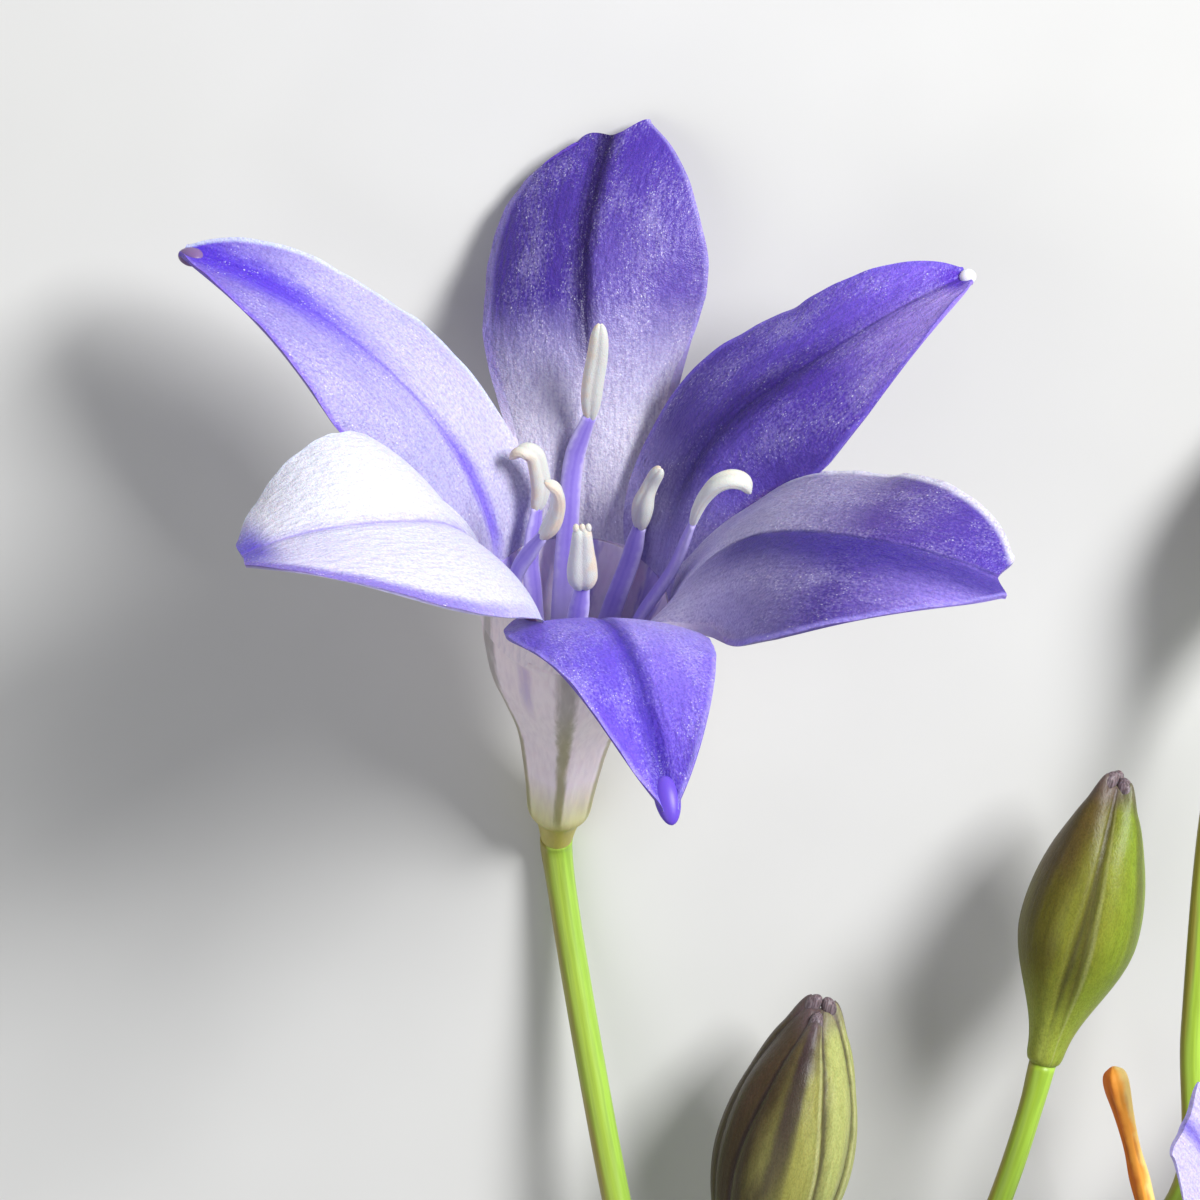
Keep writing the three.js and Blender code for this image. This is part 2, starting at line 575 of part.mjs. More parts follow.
// Group whose +Z points along a direction and whose +X lies as near as can be to another
function stand(position, direction, near) {
  const z = direction.clone().normalize();
  const x = near.clone().addScaledVector(z, -near.dot(z)).normalize();
  const group = new THREE.Group();
  group.position.copy(position);
  group.setRotationFromMatrix(new THREE.Matrix4().makeBasis(x, z.clone().cross(x), z));
  return group;
}
function mesh(name, geometry, color, roughness) {
  geometry.computeVertexNormals();
  const material = new THREE.MeshStandardMaterial({ color, roughness, metalness: 0 });
  const made = new THREE.Mesh(geometry, material);
  made.name = name;
  return made;
}

// One flower in its own group, with the petals cut clear of each other
function flower(tag, place, petals, stamens) {
  const tip = rad(place.tip);
  const side = rad(place.side);
  const up = Math.cos(tip);
  const axis = new THREE.Vector3(Math.sin(side) * up, Math.cos(side) * up, Math.sin(tip));
  const back = new THREE.Vector3(0, 0, -1);
  const [filamentSteps, antherSteps, antherSides] = FINENESS[tag].stamen;
  const group = stand(vec(place.mouth), axis, back.cross(axis));
  group.add(mesh(`${tag}_tube`, tube(), COLOURS.tube, 0.55));
  const solids = cutLaps(petals, FINENESS[tag].petal);
  for (const name of Object.keys(petals)) {
    const { shape, turn } = stamens[name];
    const strap = filament(shape, turn, filamentSteps);
    const sacs = anther(shape, turn, antherSteps, antherSides);
    group.add(mesh(`${tag}_petal_${name}`, toGeometry(solids[name]), COLOURS.petal[name], 0.6));
    group.add(mesh(`${tag}_filament_${name}`, strap, COLOURS.filament, 0.6));
    group.add(mesh(`${tag}_anther_${name}`, sacs, COLOURS.anther, 0.75));
  }
  const pistil = turned(PISTIL, PISTIL_SIDES).translate(0, 0, -TUBE_LENGTH);
  group.add(mesh(`${tag}_pistil`, pistil, COLOURS.pistil, 0.6));
  return group;
}

const part = new THREE.Group();
part.name = 'triteleia_umbel';
const umbel = new THREE.Group();
umbel.rotation.x = rad(LIE);
umbel.position.set(...SEAT);
part.add(umbel);

const stamensOne = {};
const stamensTwo = {};
const petalsTwo = {};
for (const [name, { around }] of Object.entries(PETALS_1)) {
  const inner = ['back', 'right_lower', 'left_lower'].includes(name);
  petalsTwo[name] = { ...(inner ? INNER_PETAL : OUTER_PETAL), around };
  stamensOne[name] = { shape: STAMENS_1[name], turn: 0 };
  stamensTwo[name] = { shape: STAMEN_2, turn: around };
}
const flowerOne = flower('flower_1', FLOWER_1, PETALS_1, stamensOne);
const flowerTwo = flower('flower_2', FLOWER_2, petalsTwo, stamensTwo);
umbel.add(flowerOne, flowerTwo);

const towardsViewer = new THREE.Vector3(0, 0, 1);
for (const [name, s] of Object.entries(BUDS)) {
  const group = stand(vec(s.base), vec(s.tip).sub(vec(s.base)), towardsViewer);
  group.add(mesh(`bud_${name}`, bud(s), COLOURS.bud[name], 0.5));
  umbel.add(group);
}
const witheredAxis = vec(WITHERED.tip).sub(vec(WITHERED.base));
const withered = stand(vec(WITHERED.base), witheredAxis, towardsViewer);
const shrivelled = turned(WITHERED_OUTSIDE, WITHERED_SIDES);
withered.add(mesh('withered_bud', shrivelled, COLOURS.withered_bud, 0.6));
umbel.add(withered);

const stem = stand(vec(UMBEL), vec(UMBEL).sub(vec(SCAPE_END)), new THREE.Vector3(1, 0, 0));
stem.add(mesh('scape', scape(), COLOURS.scape, 0.5));
BRACTS.forEach((s, n) => stem.add(mesh(`bract_${n + 1}`, bract(s), COLOURS.bract, 0.8)));
umbel.add(stem);

// What each stalk carries: the place and direction of its foot
const footOf = (group, z) => {
  const direction = new THREE.Vector3(0, 0, 1).applyQuaternion(group.quaternion);
  return { foot: group.position.clone().addScaledVector(direction, z), direction };
};
const neck = -TUBE_LENGTH + TUBE_OUTSIDE[0][0];
const carried = {
  flower_1: footOf(flowerOne, neck),
  flower_2: footOf(flowerTwo, neck),
  withered_bud: footOf(withered, 0),
};
for (const [name, s] of Object.entries(BUDS)) {
  carried[`bud_${name}`] = { foot: vec(s.base), direction: vec(s.tip).sub(vec(s.base)).normalize() };
}
for (const [name, s] of Object.entries(STALKS)) {
  const { foot, direction } = carried[name];
  const out = vec(s.spot).normalize();
  const start = vec(UMBEL).addScaledVector(out, KNOB_RADIUS + GAP);
  const end = foot.clone().addScaledVector(direction, -GAP);
  const risen = start.clone().addScaledVector(out, STALK_RISE);
  const below = end.clone().addScaledVector(direction, -s.end);
  const stops = [start, risen, ...s.via.map(vec), below, end];
  const path = new THREE.CatmullRomCurve3(stops, false, 'centripetal');
  const section = new THREE.Shape().absarc(0, 0, s.radius, 0, 2 * Math.PI);
  const geometry = new THREE.ExtrudeGeometry(section, {
    steps: STALK_STEPS, curveSegments: STALK_QUARTERS, extrudePath: path,
  });
  const colour = name === 'withered_bud' ? COLOURS.withered_stalk : COLOURS.stalk;
  umbel.add(mesh(`stalk_${name}`, geometry, colour, 0.45));
}

export default part;
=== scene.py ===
# %% [markdown]
# This lesson dresses a picked umbel of a blue triteleia. The imported solids give every piece its
# place and its main form. Each one is rebuilt here as a finer surface with the thin margins,
# creases, veins and colours that only a close look shows.
# The solids come in first.

import bpy
import numpy as np
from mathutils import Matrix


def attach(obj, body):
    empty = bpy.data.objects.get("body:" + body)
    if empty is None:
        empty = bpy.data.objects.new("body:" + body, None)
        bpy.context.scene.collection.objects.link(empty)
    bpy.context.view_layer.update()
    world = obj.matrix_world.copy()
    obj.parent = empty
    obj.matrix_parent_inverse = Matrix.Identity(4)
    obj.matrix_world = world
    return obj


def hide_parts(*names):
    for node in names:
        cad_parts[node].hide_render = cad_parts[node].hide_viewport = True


MM = 0.001


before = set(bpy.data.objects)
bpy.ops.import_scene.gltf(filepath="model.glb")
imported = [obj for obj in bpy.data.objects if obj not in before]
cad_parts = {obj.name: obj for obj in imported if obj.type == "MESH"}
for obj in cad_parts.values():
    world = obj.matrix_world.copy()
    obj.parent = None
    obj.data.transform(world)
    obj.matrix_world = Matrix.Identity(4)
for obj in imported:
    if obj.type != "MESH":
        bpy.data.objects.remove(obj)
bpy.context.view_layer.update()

# %% [markdown]
# The umbel lies on its back, and the viewer looks down on it. Its shapes are easiest to think of
# as the viewer sees them: X to the right, Y up the view and Z towards the viewer, in millimetres.
# One turn about X and one shift then lay the whole umbel down on the surface. A flower or a bud has
# a frame of its own within that view, with Z along its axis, so that a petal can be described by
# how far it leans away from the axis.

# %% From the viewer's millimetres to the surface's metres
LIE = np.radians(-16)
SEAT = np.array([-16.68, 51.93, 10.3])
LAID = np.array([[1, 0, 0],
                 [0, np.cos(LIE), -np.sin(LIE)],
                 [0, np.sin(LIE), np.cos(LIE)]])
TOWARDS_VIEWER = np.array([0.0, 0.0, 1.0])


def unit(a):
    """The same directions with length one."""
    a = np.asarray(a, float)
    return a / np.linalg.norm(a, axis=-1, keepdims=True)


def standing(foot, direction, near):
    """A frame at foot: Z along direction, X as near as can be to near, Y across both."""
    z = unit(direction)
    x = unit(near - z * np.dot(near, z))
    return np.array(foot, float), np.column_stack([x, np.cross(z, x), z])


PLAIN = (np.zeros(3), np.eye(3))


def laid_down(points, place=PLAIN):
    """Points of a piece's own frame, in millimetres, as metres in the shared frame."""
    foot, axes = place
    seen = points @ axes.T + foot
    return (seen @ LAID.T + SEAT) * MM


# %% [markdown]
# Two kinds of curve shape nearly everything here. A short list of numbers, such as how far a petal
# leans at four places, is read as one smooth curve through them. And a stalk or a stamen follows a
# smooth path through a few points in space.

# %% Smooth curves through a few values
STRETCH_POINTS = 40      # points on each stretch of a path, before they are spaced evenly


def smooth(x):
    """0 below 0, 1 above 1, and 3 x squared minus 2 x cubed between."""
    x = np.clip(x, 0, 1)
    return x * x * (3 - 2 * x)


def ridge(x, width):
    """A rounded ridge of height 1 at x = 0: e to the minus (x / width) squared."""
    return np.exp(-(x / width) ** 2)


def along(entries, v):
    """The value at v = 0..1 of a smooth curve through evenly spaced entries, each stretch a cubic
    whose slope at an entry is half the step from the entry before to the entry after."""
    e = np.asarray(entries, float)
    e = np.concatenate([[2 * e[0] - e[1]], e, [2 * e[-1] - e[-2]]])
    last = len(entries) - 1
    x = np.clip(v, 0, 1) * last
    i = np.minimum(np.floor(x).astype(int), last - 1)
    f = x - i
    a, b, c, d = e[i], e[i + 1], e[i + 2], e[i + 3]
    bend = 2 * a - 5 * b + 4 * c - d
    twist = 3 * b - a - 3 * c + d
    return 0.5 * (2 * b + (c - a) * f + bend * f ** 2 + twist * f ** 3)


def path_through(points, count):
    """count evenly spaced points on a smooth path through the given ones. Between two of them it
    is a cubic whose slopes weigh the neighbours by the square root of their distances."""
    p = np.asarray(points, float)
    p = np.vstack([2 * p[0] - p[1], p, 2 * p[-1] - p[-2]])
    f = np.linspace(0, 1, STRETCH_POINTS)[:, None]
    stretches = []
    for a, b, c, d in zip(p[:-3], p[1:-2], p[2:-1], p[3:]):
        ab, bc, cd = [np.linalg.norm(q) ** 0.5 for q in (b - a, c - b, d - c)]
        slope_b = ((b - a) / ab - (c - a) / (ab + bc) + (c - b) / bc) * bc
        slope_c = ((c - b) / bc - (d - b) / (bc + cd) + (d - c) / cd) * bc
        cubic = 2 * b - 2 * c + slope_b + slope_c
        square = -3 * b + 3 * c - 2 * slope_b - slope_c
        stretches.append(b + slope_b * f + square * f ** 2 + cubic * f ** 3)
    fine = np.vstack(stretches)
    run = np.concatenate([[0], np.cumsum(np.linalg.norm(np.diff(fine, axis=0), axis=1))])
    wanted = np.linspace(0, run[-1], count)
    return np.column_stack([np.interp(wanted, run, fine[:, k]) for k in range(3)])


# %% [markdown]
# Every surface is a grid of points worked out as whole arrays. A blade has a grid in front and one
# behind it with a rim between. A round body is a grid that closes on itself, with its ends drawn
# together to a point. Each point also carries a few numbers, its marks, such as how far along and
# across the petal it lies. The finishes read them later, so colour follows the form.

# %% From grids to pieces
def grid_faces(rows, columns, start=0, wrap=False):
    """Four-cornered faces between neighbouring points of a grid, which wraps round or not."""
    last = columns if wrap else columns - 1
    j, i = np.meshgrid(np.arange(rows - 1), np.arange(last), indexing="ij")
    right = (i + 1) % columns
    low, high = j * columns, (j + 1) * columns
    return start + np.stack([low + i, low + right, high + right, high + i], axis=-1).reshape(-1, 4)


def make_piece(node, slot_name, finish, points, faces, **marks):
    """The finer piece in place of a node's solid, from points in metres and its faces. A face that
    gives a corner twice has three corners. marks are numbers, one for each point."""
    name = node + "_fine"
    real = faces != np.roll(faces, -1, axis=1)
    corners = faces[real]
    starts = np.concatenate([[0], np.cumsum(real.sum(axis=1))[:-1]])
    mesh = bpy.data.meshes.new(name)
    mesh.vertices.add(len(points))
    mesh.vertices.foreach_set("co", np.asarray(points, np.float32).ravel())
    mesh.loops.add(len(corners))
    mesh.loops.foreach_set("vertex_index", corners.astype(np.int32))
    mesh.polygons.add(len(faces))
    mesh.polygons.foreach_set("loop_start", starts.astype(np.int32))
    mesh.update(calc_edges=True)
    for mark, values in marks.items():
        layer = mesh.attributes.new(mark, "FLOAT", "POINT")
        layer.data.foreach_set("value", np.asarray(values, np.float32).ravel())
    mesh.materials.append(finish)
    mesh.shade_smooth()
    mesh.validate()
    piece = bpy.data.objects.new(name, mesh)
    bpy.context.collection.objects.link(piece)
    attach(piece, "root")
    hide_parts(node)
    return piece


def outward(points, faces):
    """The faces, all turned over where the volume that they enclose comes out negative."""
    a, b, c, d = [points[faces[:, k]] for k in range(4)]
    volume = np.einsum("ij,ij->", a, np.cross(b, c)) + np.einsum("ij,ij->", a, np.cross(c, d))
    return faces if volume > 0 else faces[:, ::-1]


def blade(front, behind):
    """A closed blade: the front grid, the grid behind it turned over, and a rim round both."""
    rows, columns = front.shape[:2]
    size = rows * columns
    points = np.concatenate([front.reshape(-1, 3), behind.reshape(-1, 3)])
    near = grid_faces(rows, columns)
    far = grid_faces(rows, columns, start=size)[:, ::-1]
    grid = np.arange(size).reshape(rows, columns)
    edge = np.concatenate([grid[0], grid[1:, -1], grid[-1, -2::-1], grid[-2:0:-1, 0]])
    ahead = np.roll(edge, -1)
    rim = np.stack([edge, edge + size, ahead + size, ahead], axis=1)
    return points, outward(points, np.concatenate([near, far, rim]))


def blade_marks(shape, **marks):
    """Marks of a blade: one number for each point of the front grid and of the grid behind it."""
    return {name: np.tile(np.broadcast_to(values, shape).ravel(), 2) for name, values in marks.items()}


def round_body(rings):
    """A closed round body from rings of points, each end drawn together in the ring's middle."""
    rows, columns = rings.shape[:2]
    points = np.concatenate([rings.reshape(-1, 3), rings[:1].mean(axis=1), rings[-1:].mean(axis=1)])
    sides = grid_faces(rows, columns, wrap=True)
    here = np.arange(columns)
    after = (here + 1) % columns
    low = np.stack([after, here, np.full(columns, rows * columns)], axis=1)
    top = (rows - 1) * columns
    high = np.stack([top + here, top + after, np.full(columns, rows * columns + 1)], axis=1)
    caps = np.concatenate([low, high])
    caps = np.concatenate([caps, caps[:, 2:]], axis=1)
    return points, outward(points, np.concatenate([sides, caps]))


def ring_marks(rings, **marks):
    """Marks of a round body: one number for each point of its rings, and for its two end points."""
    made = {}
    for name, values in marks.items():
        full = np.broadcast_to(values, rings.shape[:2]).ravel()
        made[name] = np.concatenate([full, full[:1], full[-1:]])
    return made


def with_body(points, faces, marks, body, fill):
    """A piece with a small body added. fill gives each of the body's marks."""
    more_points, more_faces = body
    faces = np.concatenate([faces, more_faces + len(points)])
    points = np.concatenate([points, more_points])
    marks = {name: np.concatenate([values, np.full(len(more_points), fill[name])])
             for name, values in marks.items()}
    return points, faces, marks


print("helpers ready")

# %% [markdown]
# A finish is a small web of shader nodes. Writing one by hand means many lines of nodes and links,
# so a helper holds the web while it grows. Each of its steps adds one node and hands on what comes
# out of it, and the steps read like a recipe: take the marks, blend two colours by them, blur an
# edge with noise, set glints on top.

# %% A helper that builds finishes
def ink(red, green, blue):
    """A colour given as a screen shows it, 0 to 255, as the amounts of light that it stands for."""
    c = np.array([red, green, blue]) / 255
    light = np.where(c <= 0.04045, c / 12.92, ((c + 0.055) / 1.055) ** 2.4)
    return (*light.tolist(), 1.0)


WHITE = ink(255, 255, 255)
DICE_BLUR = 0.05         # share of the cells that glint half


class Finish:
    """One finish in the making. Every step adds a node and returns its output."""

    def __init__(self, name, **plain):
        self.made = bpy.data.materials.new(name)
        self.made.use_nodes = True
        self.web = self.made.node_tree
        self.web.nodes.clear()
        self.shader = self.web.nodes.new("ShaderNodeBsdfPrincipled")
        output = self.web.nodes.new("ShaderNodeOutputMaterial")
        self.web.links.new(self.shader.outputs["BSDF"], output.inputs["Surface"])
        for socket, value in plain.items():
            self.feed(self.shader, socket.replace("_", " "), value)

    def feed(self, node, socket, value):
        if isinstance(value, bpy.types.NodeSocket):
            self.web.links.new(value, node.inputs[socket])
        else:
            node.inputs[socket].default_value = value

    def step(self, kind, sockets, out=0, **settings):
        node = self.web.nodes.new("ShaderNode" + kind)
        for setting, value in settings.items():
            setattr(node, setting, value)
        for socket, value in sockets.items():
            self.feed(node, socket, value)
        return node.outputs[out]

    def mark(self, name):
        """The number that each point of the piece carries under this name."""
        return self.step("Attribute", {}, out="Fac", attribute_name=name)

    def place(self):
        """The place of each point within the scene, in metres."""
        return self.step("TexCoord", {}, out="Object")

    def sum(self, operation, a, b=0.0):
        return self.step("Math", {0: a, 1: b}, operation=operation)

    def times(self, a, b):
        return self.sum("MULTIPLY", a, b)

    def size(self, value):
        """The value without its sign."""
        return self.sum("ABSOLUTE", value)

    def ragged(self, value, noise, wide):
        """The value moved up and down by noise, over a width of wide in all."""
        return self.sum("ADD", value, self.times(self.sum("SUBTRACT", noise, 0.5), wide))

    def band(self, value, low, high):
        """0 up to low and 1 from high on, with a smooth step between. It also steps downwards."""
        sockets = {"Value": value, "From Min": low, "From Max": high}
        return self.step("MapRange", sockets, interpolation_type="SMOOTHSTEP")

    def blend(self, share, a, b, way="MIX"):
        """Colour a where share is 0 and b where it is 1."""
        return self.step("Mix", {0: share, 6: a, 7: b}, out=2, data_type="RGBA", blend_type=way)

    def lay(self, under, over, share, strength):
        """Colour under, with colour over laid on it by share times strength."""
        return self.blend(self.times(share, strength), under, over)

    def ramp(self, value, stops):
        """Colours at given values from 0 to 1, blended between."""
        node = self.web.nodes.new("ShaderNodeValToRGB")
        first, last = node.color_ramp.elements
        first.position, first.color = stops[0]
        last.position, last.color = stops[-1]
        for place, colour in stops[1:-1]:
            node.color_ramp.elements.new(place).color = colour
        self.feed(node, "Fac", value)
        return node.outputs["Color"]

    def darken(self, colour, strength, noise, *stops):
        """The colour multiplied by a ramp of light over noise."""
        return self.blend(strength, colour, self.ramp(noise, stops), "MULTIPLY")

    def flat(self, across, onward, third=0.0):
        """A place on the surface, in millimetres across and along it."""
        return self.step("CombineXYZ", {0: across, 1: onward, 2: third})

    def noise(self, at, often, detail):
        """Noise from 0 to 1. often gives how often it changes in one unit of at, three ways."""
        spot = self.step("Mapping", {"Vector": at, "Scale": often})
        return self.step("TexNoise", {"Vector": spot, "Scale": 1.0, "Detail": detail})

    def glints(self, at, often, share, size):
        """Painted highlights as small bright spots: cells of the surface, of which a share is picked by
        its colour.
        """
        spot = {"Vector": self.step("Mapping", {"Vector": at, "Scale": often}), "Scale": 1.0}
        dice = self.step("SeparateColor", {0: self.step("TexVoronoi", spot, out="Color")})
        near = self.band(self.step("TexVoronoi", spot, out="Distance"), size, size / 2)
        return self.times(near, self.band(dice, 1 - share, 1 - share + DICE_BLUR))

    def cover(self, colour, height=None, depth=0.03, strength=0.4):
        """Ends the recipe: its colour, and its low relief with the depth in millimetres."""
        self.feed(self.shader, "Base Color", colour)
        if height is not None:
            sockets = {"Height": height, "Distance": depth * MM, "Strength": strength}
            self.feed(self.shader, "Normal", self.step("Bump", sockets))
        return self.made


# %% [markdown]
# The flower is a funnel that splits into six petals: three narrow outer ones and three broad inner
# ones, turn about. A petal could be modelled by hand from a plane, but its form is well told by a
# few numbers: how far its midrib leans from the axis, how wide it is, how sharply it folds along
# the midrib, and how its margins curl. The numbers keep close to the solids' own, so the form stays.
# The finer grid adds the groove of the midrib, the thin wavy margin and the hooded tip.

# %% The two flowers
MOUTH_RADIUS = 4.6
MOUTH_GAP = 0.3
FLOWER_1 = {"mouth": [-1.2, -0.2, 0], "tip": 47, "side": 5}
FLOWER_2 = {"mouth": [31.4, -43.4, -11.23], "tip": 36, "side": 70}


def flower_place(flower):
    """A flower's frame: its mouth, Z along its axis and X towards the viewer's right."""
    tip, side = np.radians(flower["tip"]), np.radians(flower["side"])
    axis = np.array([np.sin(side) * np.cos(tip), np.cos(side) * np.cos(tip), np.sin(tip)])
    return standing(flower["mouth"], axis, np.cross([0, 0, -1], axis))


PLACES = {"flower_1": flower_place(FLOWER_1), "flower_2": flower_place(FLOWER_2)}

# %% The petals' numbers
# around: degrees round the axis from the viewer's right. lean: angle of the midrib from the axis at
# four even steps. sway: sideways drift of the midrib. roll: twist. half: greatest half widths
# before and after the midrib, at the share widest of the length. rise, blunt and point: how the
# outline swells and closes. keel: fold along the midrib in degrees. cup: lift of the margins as a
# share of the half width. notch and drop: how far the tip's middle and shoulders fall short. end:
# half width of the tip itself.
PETALS_1 = {
    "back": dict(
        around=90, length=22.2, lean=[19, 38, 58, 76], sway=[0, 0.3, 1.1, 0.2], roll=[0, 11, -17, -12],
        half=[6.0, 5.5], widest=0.65, rise=1.1, blunt=1.5, point=2.2,
        keel=[0, -6, 6], cup=[0, -0.22, -0.17], notch=0.056, drop=[0.004, 0.1], end=1.85),
    "right_upper": dict(
        around=30, length=23.7, lean=[5, 34, 59, 84], sway=[0, 1, -0.2, -0.4], roll=[0, 7, -4, -4],
        half=[5.0, 4.4], widest=0.56, rise=1.0, blunt=1.2, point=1.8,
        keel=[0, -3, 20], cup=[0, -0.22, 0.14], notch=0, drop=[0, 0], end=0.55),
    "right_lower": dict(
        around=-30, length=25, lean=[5, 36, 70, 104], sway=[0, 1.2, 1.2, 2.9], roll=[0, 13, 1, -5],
        half=[6.5, 6.2], widest=0.63, rise=1.4, blunt=1.3, point=2.1,
        keel=[0, -4, 16], cup=[0, -0.22, -0.02], notch=0.03, drop=[0, 0.02], end=1.4),
    "front": dict(
        around=-90, length=23.3, lean=[5, 41, 80, 121], sway=[0, 1.2, 3.2, 5.3], roll=[0, 5, -5, -6],
        half=[4.9, 4.9], widest=0.42, rise=2.0, blunt=1.6, point=1.3,
        keel=[0, 1, 23], cup=[0, -0.17, 0.11], notch=0, drop=[0, 0], end=0.4),
    "left_lower": dict(
        around=210, length=25, lean=[5, 25, 63, 105], sway=[0, 1, 3.3, 3.3], roll=[0, 9, 1, 34],
        half=[6.4, 6.8], widest=0.57, rise=0.95, blunt=2.0, point=2.6,
        keel=[0, 13, 4], cup=[0, -0.22, -0.04], notch=0.01, drop=[0.02, 0], end=1.9),
    "left_upper": dict(
        around=150, length=24.5, lean=[10, 43, 71, 99], sway=[0, 0.2, 1, 1.9], roll=[0, 1, 7, 0],
        half=[4.2, 4.5], widest=0.52, rise=0.9, blunt=1.2, point=1.6,
        keel=[0, 2, 19], cup=[0, -0.19, 0.13], notch=0, drop=[0, 0], end=0.4),
}
INNER_PETAL = dict(
    length=22.5, lean=[14, 40, 64, 86], sway=[0, 0.2, 0.6, 1], roll=[0, 3, 3, 0],
    half=[5.5, 5.5], widest=0.6, rise=1.3, blunt=1.5, point=2.1,
    keel=[0, 2, 12], cup=[0, -0.15, -0.04], notch=0.03, drop=[0, 0.02], end=1.2)
OUTER_PETAL = dict(
    length=22.4, lean=[10, 38, 64, 90], sway=[0, 0.2, 0.5, 1], roll=[0, 2, 2, 0],
    half=[4.1, 4.1], widest=0.52, rise=1.2, blunt=1.3, point=1.6,
    keel=[0, 2, 18], cup=[0, -0.15, 0.1], notch=0, drop=[0, 0], end=0.4)
INNER = ("back", "left_lower", "right_lower")
PETALS_2 = {name: dict(INNER_PETAL if name in INNER else OUTER_PETAL, around=petal["around"])
            for name, petal in PETALS_1.items()}
PETALS_2["left_lower"].update(lean=[14, 40, 68, 92], roll=[0, 3, -5, -12], end=2.2)

# %% A petal's inner face
FOOT = (0.1, 0.24)       # stretch over which a petal leaves its neighbours' margins
GAP_OPENS = 0.1          # share of its length over which it rises clear of the mouth
OPENED = 0.3             # share of its length over which it opens out from the mouth's curve
CREASE = 0.3             # half width of the rounded crease along the midrib
CORNER = 4               # power that rounds the corner where the outline meets the tip's own width
SHORTENED = 4            # power that keeps the notch and the shoulders to the tip
CUP_CURVE = 2.5          # power by which the lift grows towards the margins
MIDRIB_STEPS = 200
NUDGE = 0.001            # step to either side from which the drift of the midrib is taken


def half_width(petal, v, u, distance):
    """Half width of a petal at v on the side of u. It swells as a sine up to the widest place and
    closes as a rounded point; the foot is a sixth of the mouth's circle."""
    most = np.where(u < 0, *petal["half"])
    widest = petal["widest"]
    foot = MOUTH_RADIUS * np.pi / 6
    swelling = foot + (most - foot) * np.sin(np.minimum(v / widest, 1) * np.pi / 2) ** petal["rise"]
    past = np.clip((v - widest) / (1 - widest), 0, 1)
    closing = most * (1 - past ** petal["blunt"]) ** (1 / petal["point"])
    free = (np.where(v < widest, swelling, closing) ** CORNER + petal["end"] ** CORNER) ** (1 / CORNER)
    joined = distance * np.pi / 6 * (1 - smooth((v - FOOT[0]) / (FOOT[1] - FOOT[0])))
    return np.maximum(free, joined)


def petal_face(petal, v, u):
    """Points of a petal's inner face in its flower's frame, for v = 0..1 from mouth to tip down
    the rows and u = -1..1 from margin to margin across the columns.
    The midrib adds up short steps that lean from the axis by the angles in lean. Across it lies a
    section that changes from the mouth's circle to a fold with lifted margins."""
    angle = np.radians(petal["around"])
    out = np.array([np.cos(angle), np.sin(angle), 0])
    across = np.array([-np.sin(angle), np.cos(angle), 0])
    axis = np.array([0.0, 0.0, 1.0])
    steps = np.radians(along(petal["lean"], (np.arange(MIDRIB_STEPS) + 0.5) / MIDRIB_STEPS))
    step = petal["length"] / MIDRIB_STEPS
    ends = np.linspace(0, 1, MIDRIB_STEPS + 1)
    distances = MOUTH_RADIUS + np.concatenate([[0], np.cumsum(np.sin(steps))]) * step
    heights = np.concatenate([[0], np.cumsum(np.cos(steps))]) * step
    heights = heights + MOUTH_GAP * smooth(ends / GAP_OPENS)

    short = petal["notch"] * (1 - u * u) ** 2 + np.where(u < 0, *petal["drop"]) * u * u
    w = v * (1 - v ** SHORTENED * short)
    distance = np.interp(w, ends, distances)
    half = half_width(petal, v, u, distance)
    q = half * u

    lean = np.radians(along(petal["lean"], w))[..., None]
    onward = out * np.sin(lean) + axis * np.cos(lean)
    inward = axis * np.sin(lean) - out * np.cos(lean)
    near, far = np.maximum(w - NUDGE, 0), np.minimum(w + NUDGE, 1)
    drift = (along(petal["sway"], far) - along(petal["sway"], near)) / (far - near) / petal["length"]
    side = unit(across - onward * drift[..., None])
    roll = np.radians(along(petal["roll"], w))[..., None]
    level = side * np.cos(roll) + inward * np.sin(roll)
    up = inward * np.cos(roll) - side * np.sin(roll)

    keel = np.radians(along(petal["keel"], v))
    opened = smooth(v / OPENED)
    folded = (np.hypot(q, CREASE) - CREASE) * np.sin(keel)
    cupped = along(petal["cup"], v) * half * np.abs(u) ** CUP_CURVE
    turn = q / MOUTH_RADIUS
    sideways = opened * q * np.cos(keel) + (1 - opened) * MOUTH_RADIUS * np.sin(turn)
    raised = opened * (folded + cupped) + (1 - opened) * MOUTH_RADIUS * (1 - np.cos(turn))
    midrib = (out * distance[..., None] + axis * np.interp(w, ends, heights)[..., None]
              + across * along(petal["sway"], w)[..., None])
    return midrib + level * sideways[..., None] + up * raised[..., None], q


def inner_normals(points, petal):
    """Directions square to a grid, on the side that faces the flower's axis."""
    normals = unit(np.cross(np.gradient(points, axis=1), np.gradient(points, axis=0)))
    angle = np.radians(petal["around"])
    inward = np.array([-np.cos(angle), -np.sin(angle), 1])
    return normals * np.sign((normals @ inward).mean())


# %% A whole petal
PETAL_THICK = 0.34       # beside the midrib, and at the margins
MARGIN_THICK = 0.14
EVEN_FOOT = 0.08         # share of its length up to which the foot turns from even to thin margins
GROOVE_DEPTH = 0.12      # of the midrib on the inner face
GROOVE_WIDTH = 0.26
GROOVE_FADES = 0.6       # share of its depth that it has lost at the tip
RIDGE_HEIGHT = 0.14      # of the midrib on the outer face
RIDGE_WIDTH = 0.364
RIDGE_STARTS = 0.1       # share of the length over which it comes in
RIDGE_FADES = 0.5
RIPPLE = 0.06            # height of the waves along a margin
RIPPLE_STARTS = 0.3      # share of the length over which they come in, once the petal is free
WAVES = (3, 7, 13)       # waves along a margin, each kind lower than the one before
TUCK = 0.3               # how far a margin under its neighbour's is pressed outwards near the foot
LIFT = 0.12              # and how far one over its neighbour's is lifted
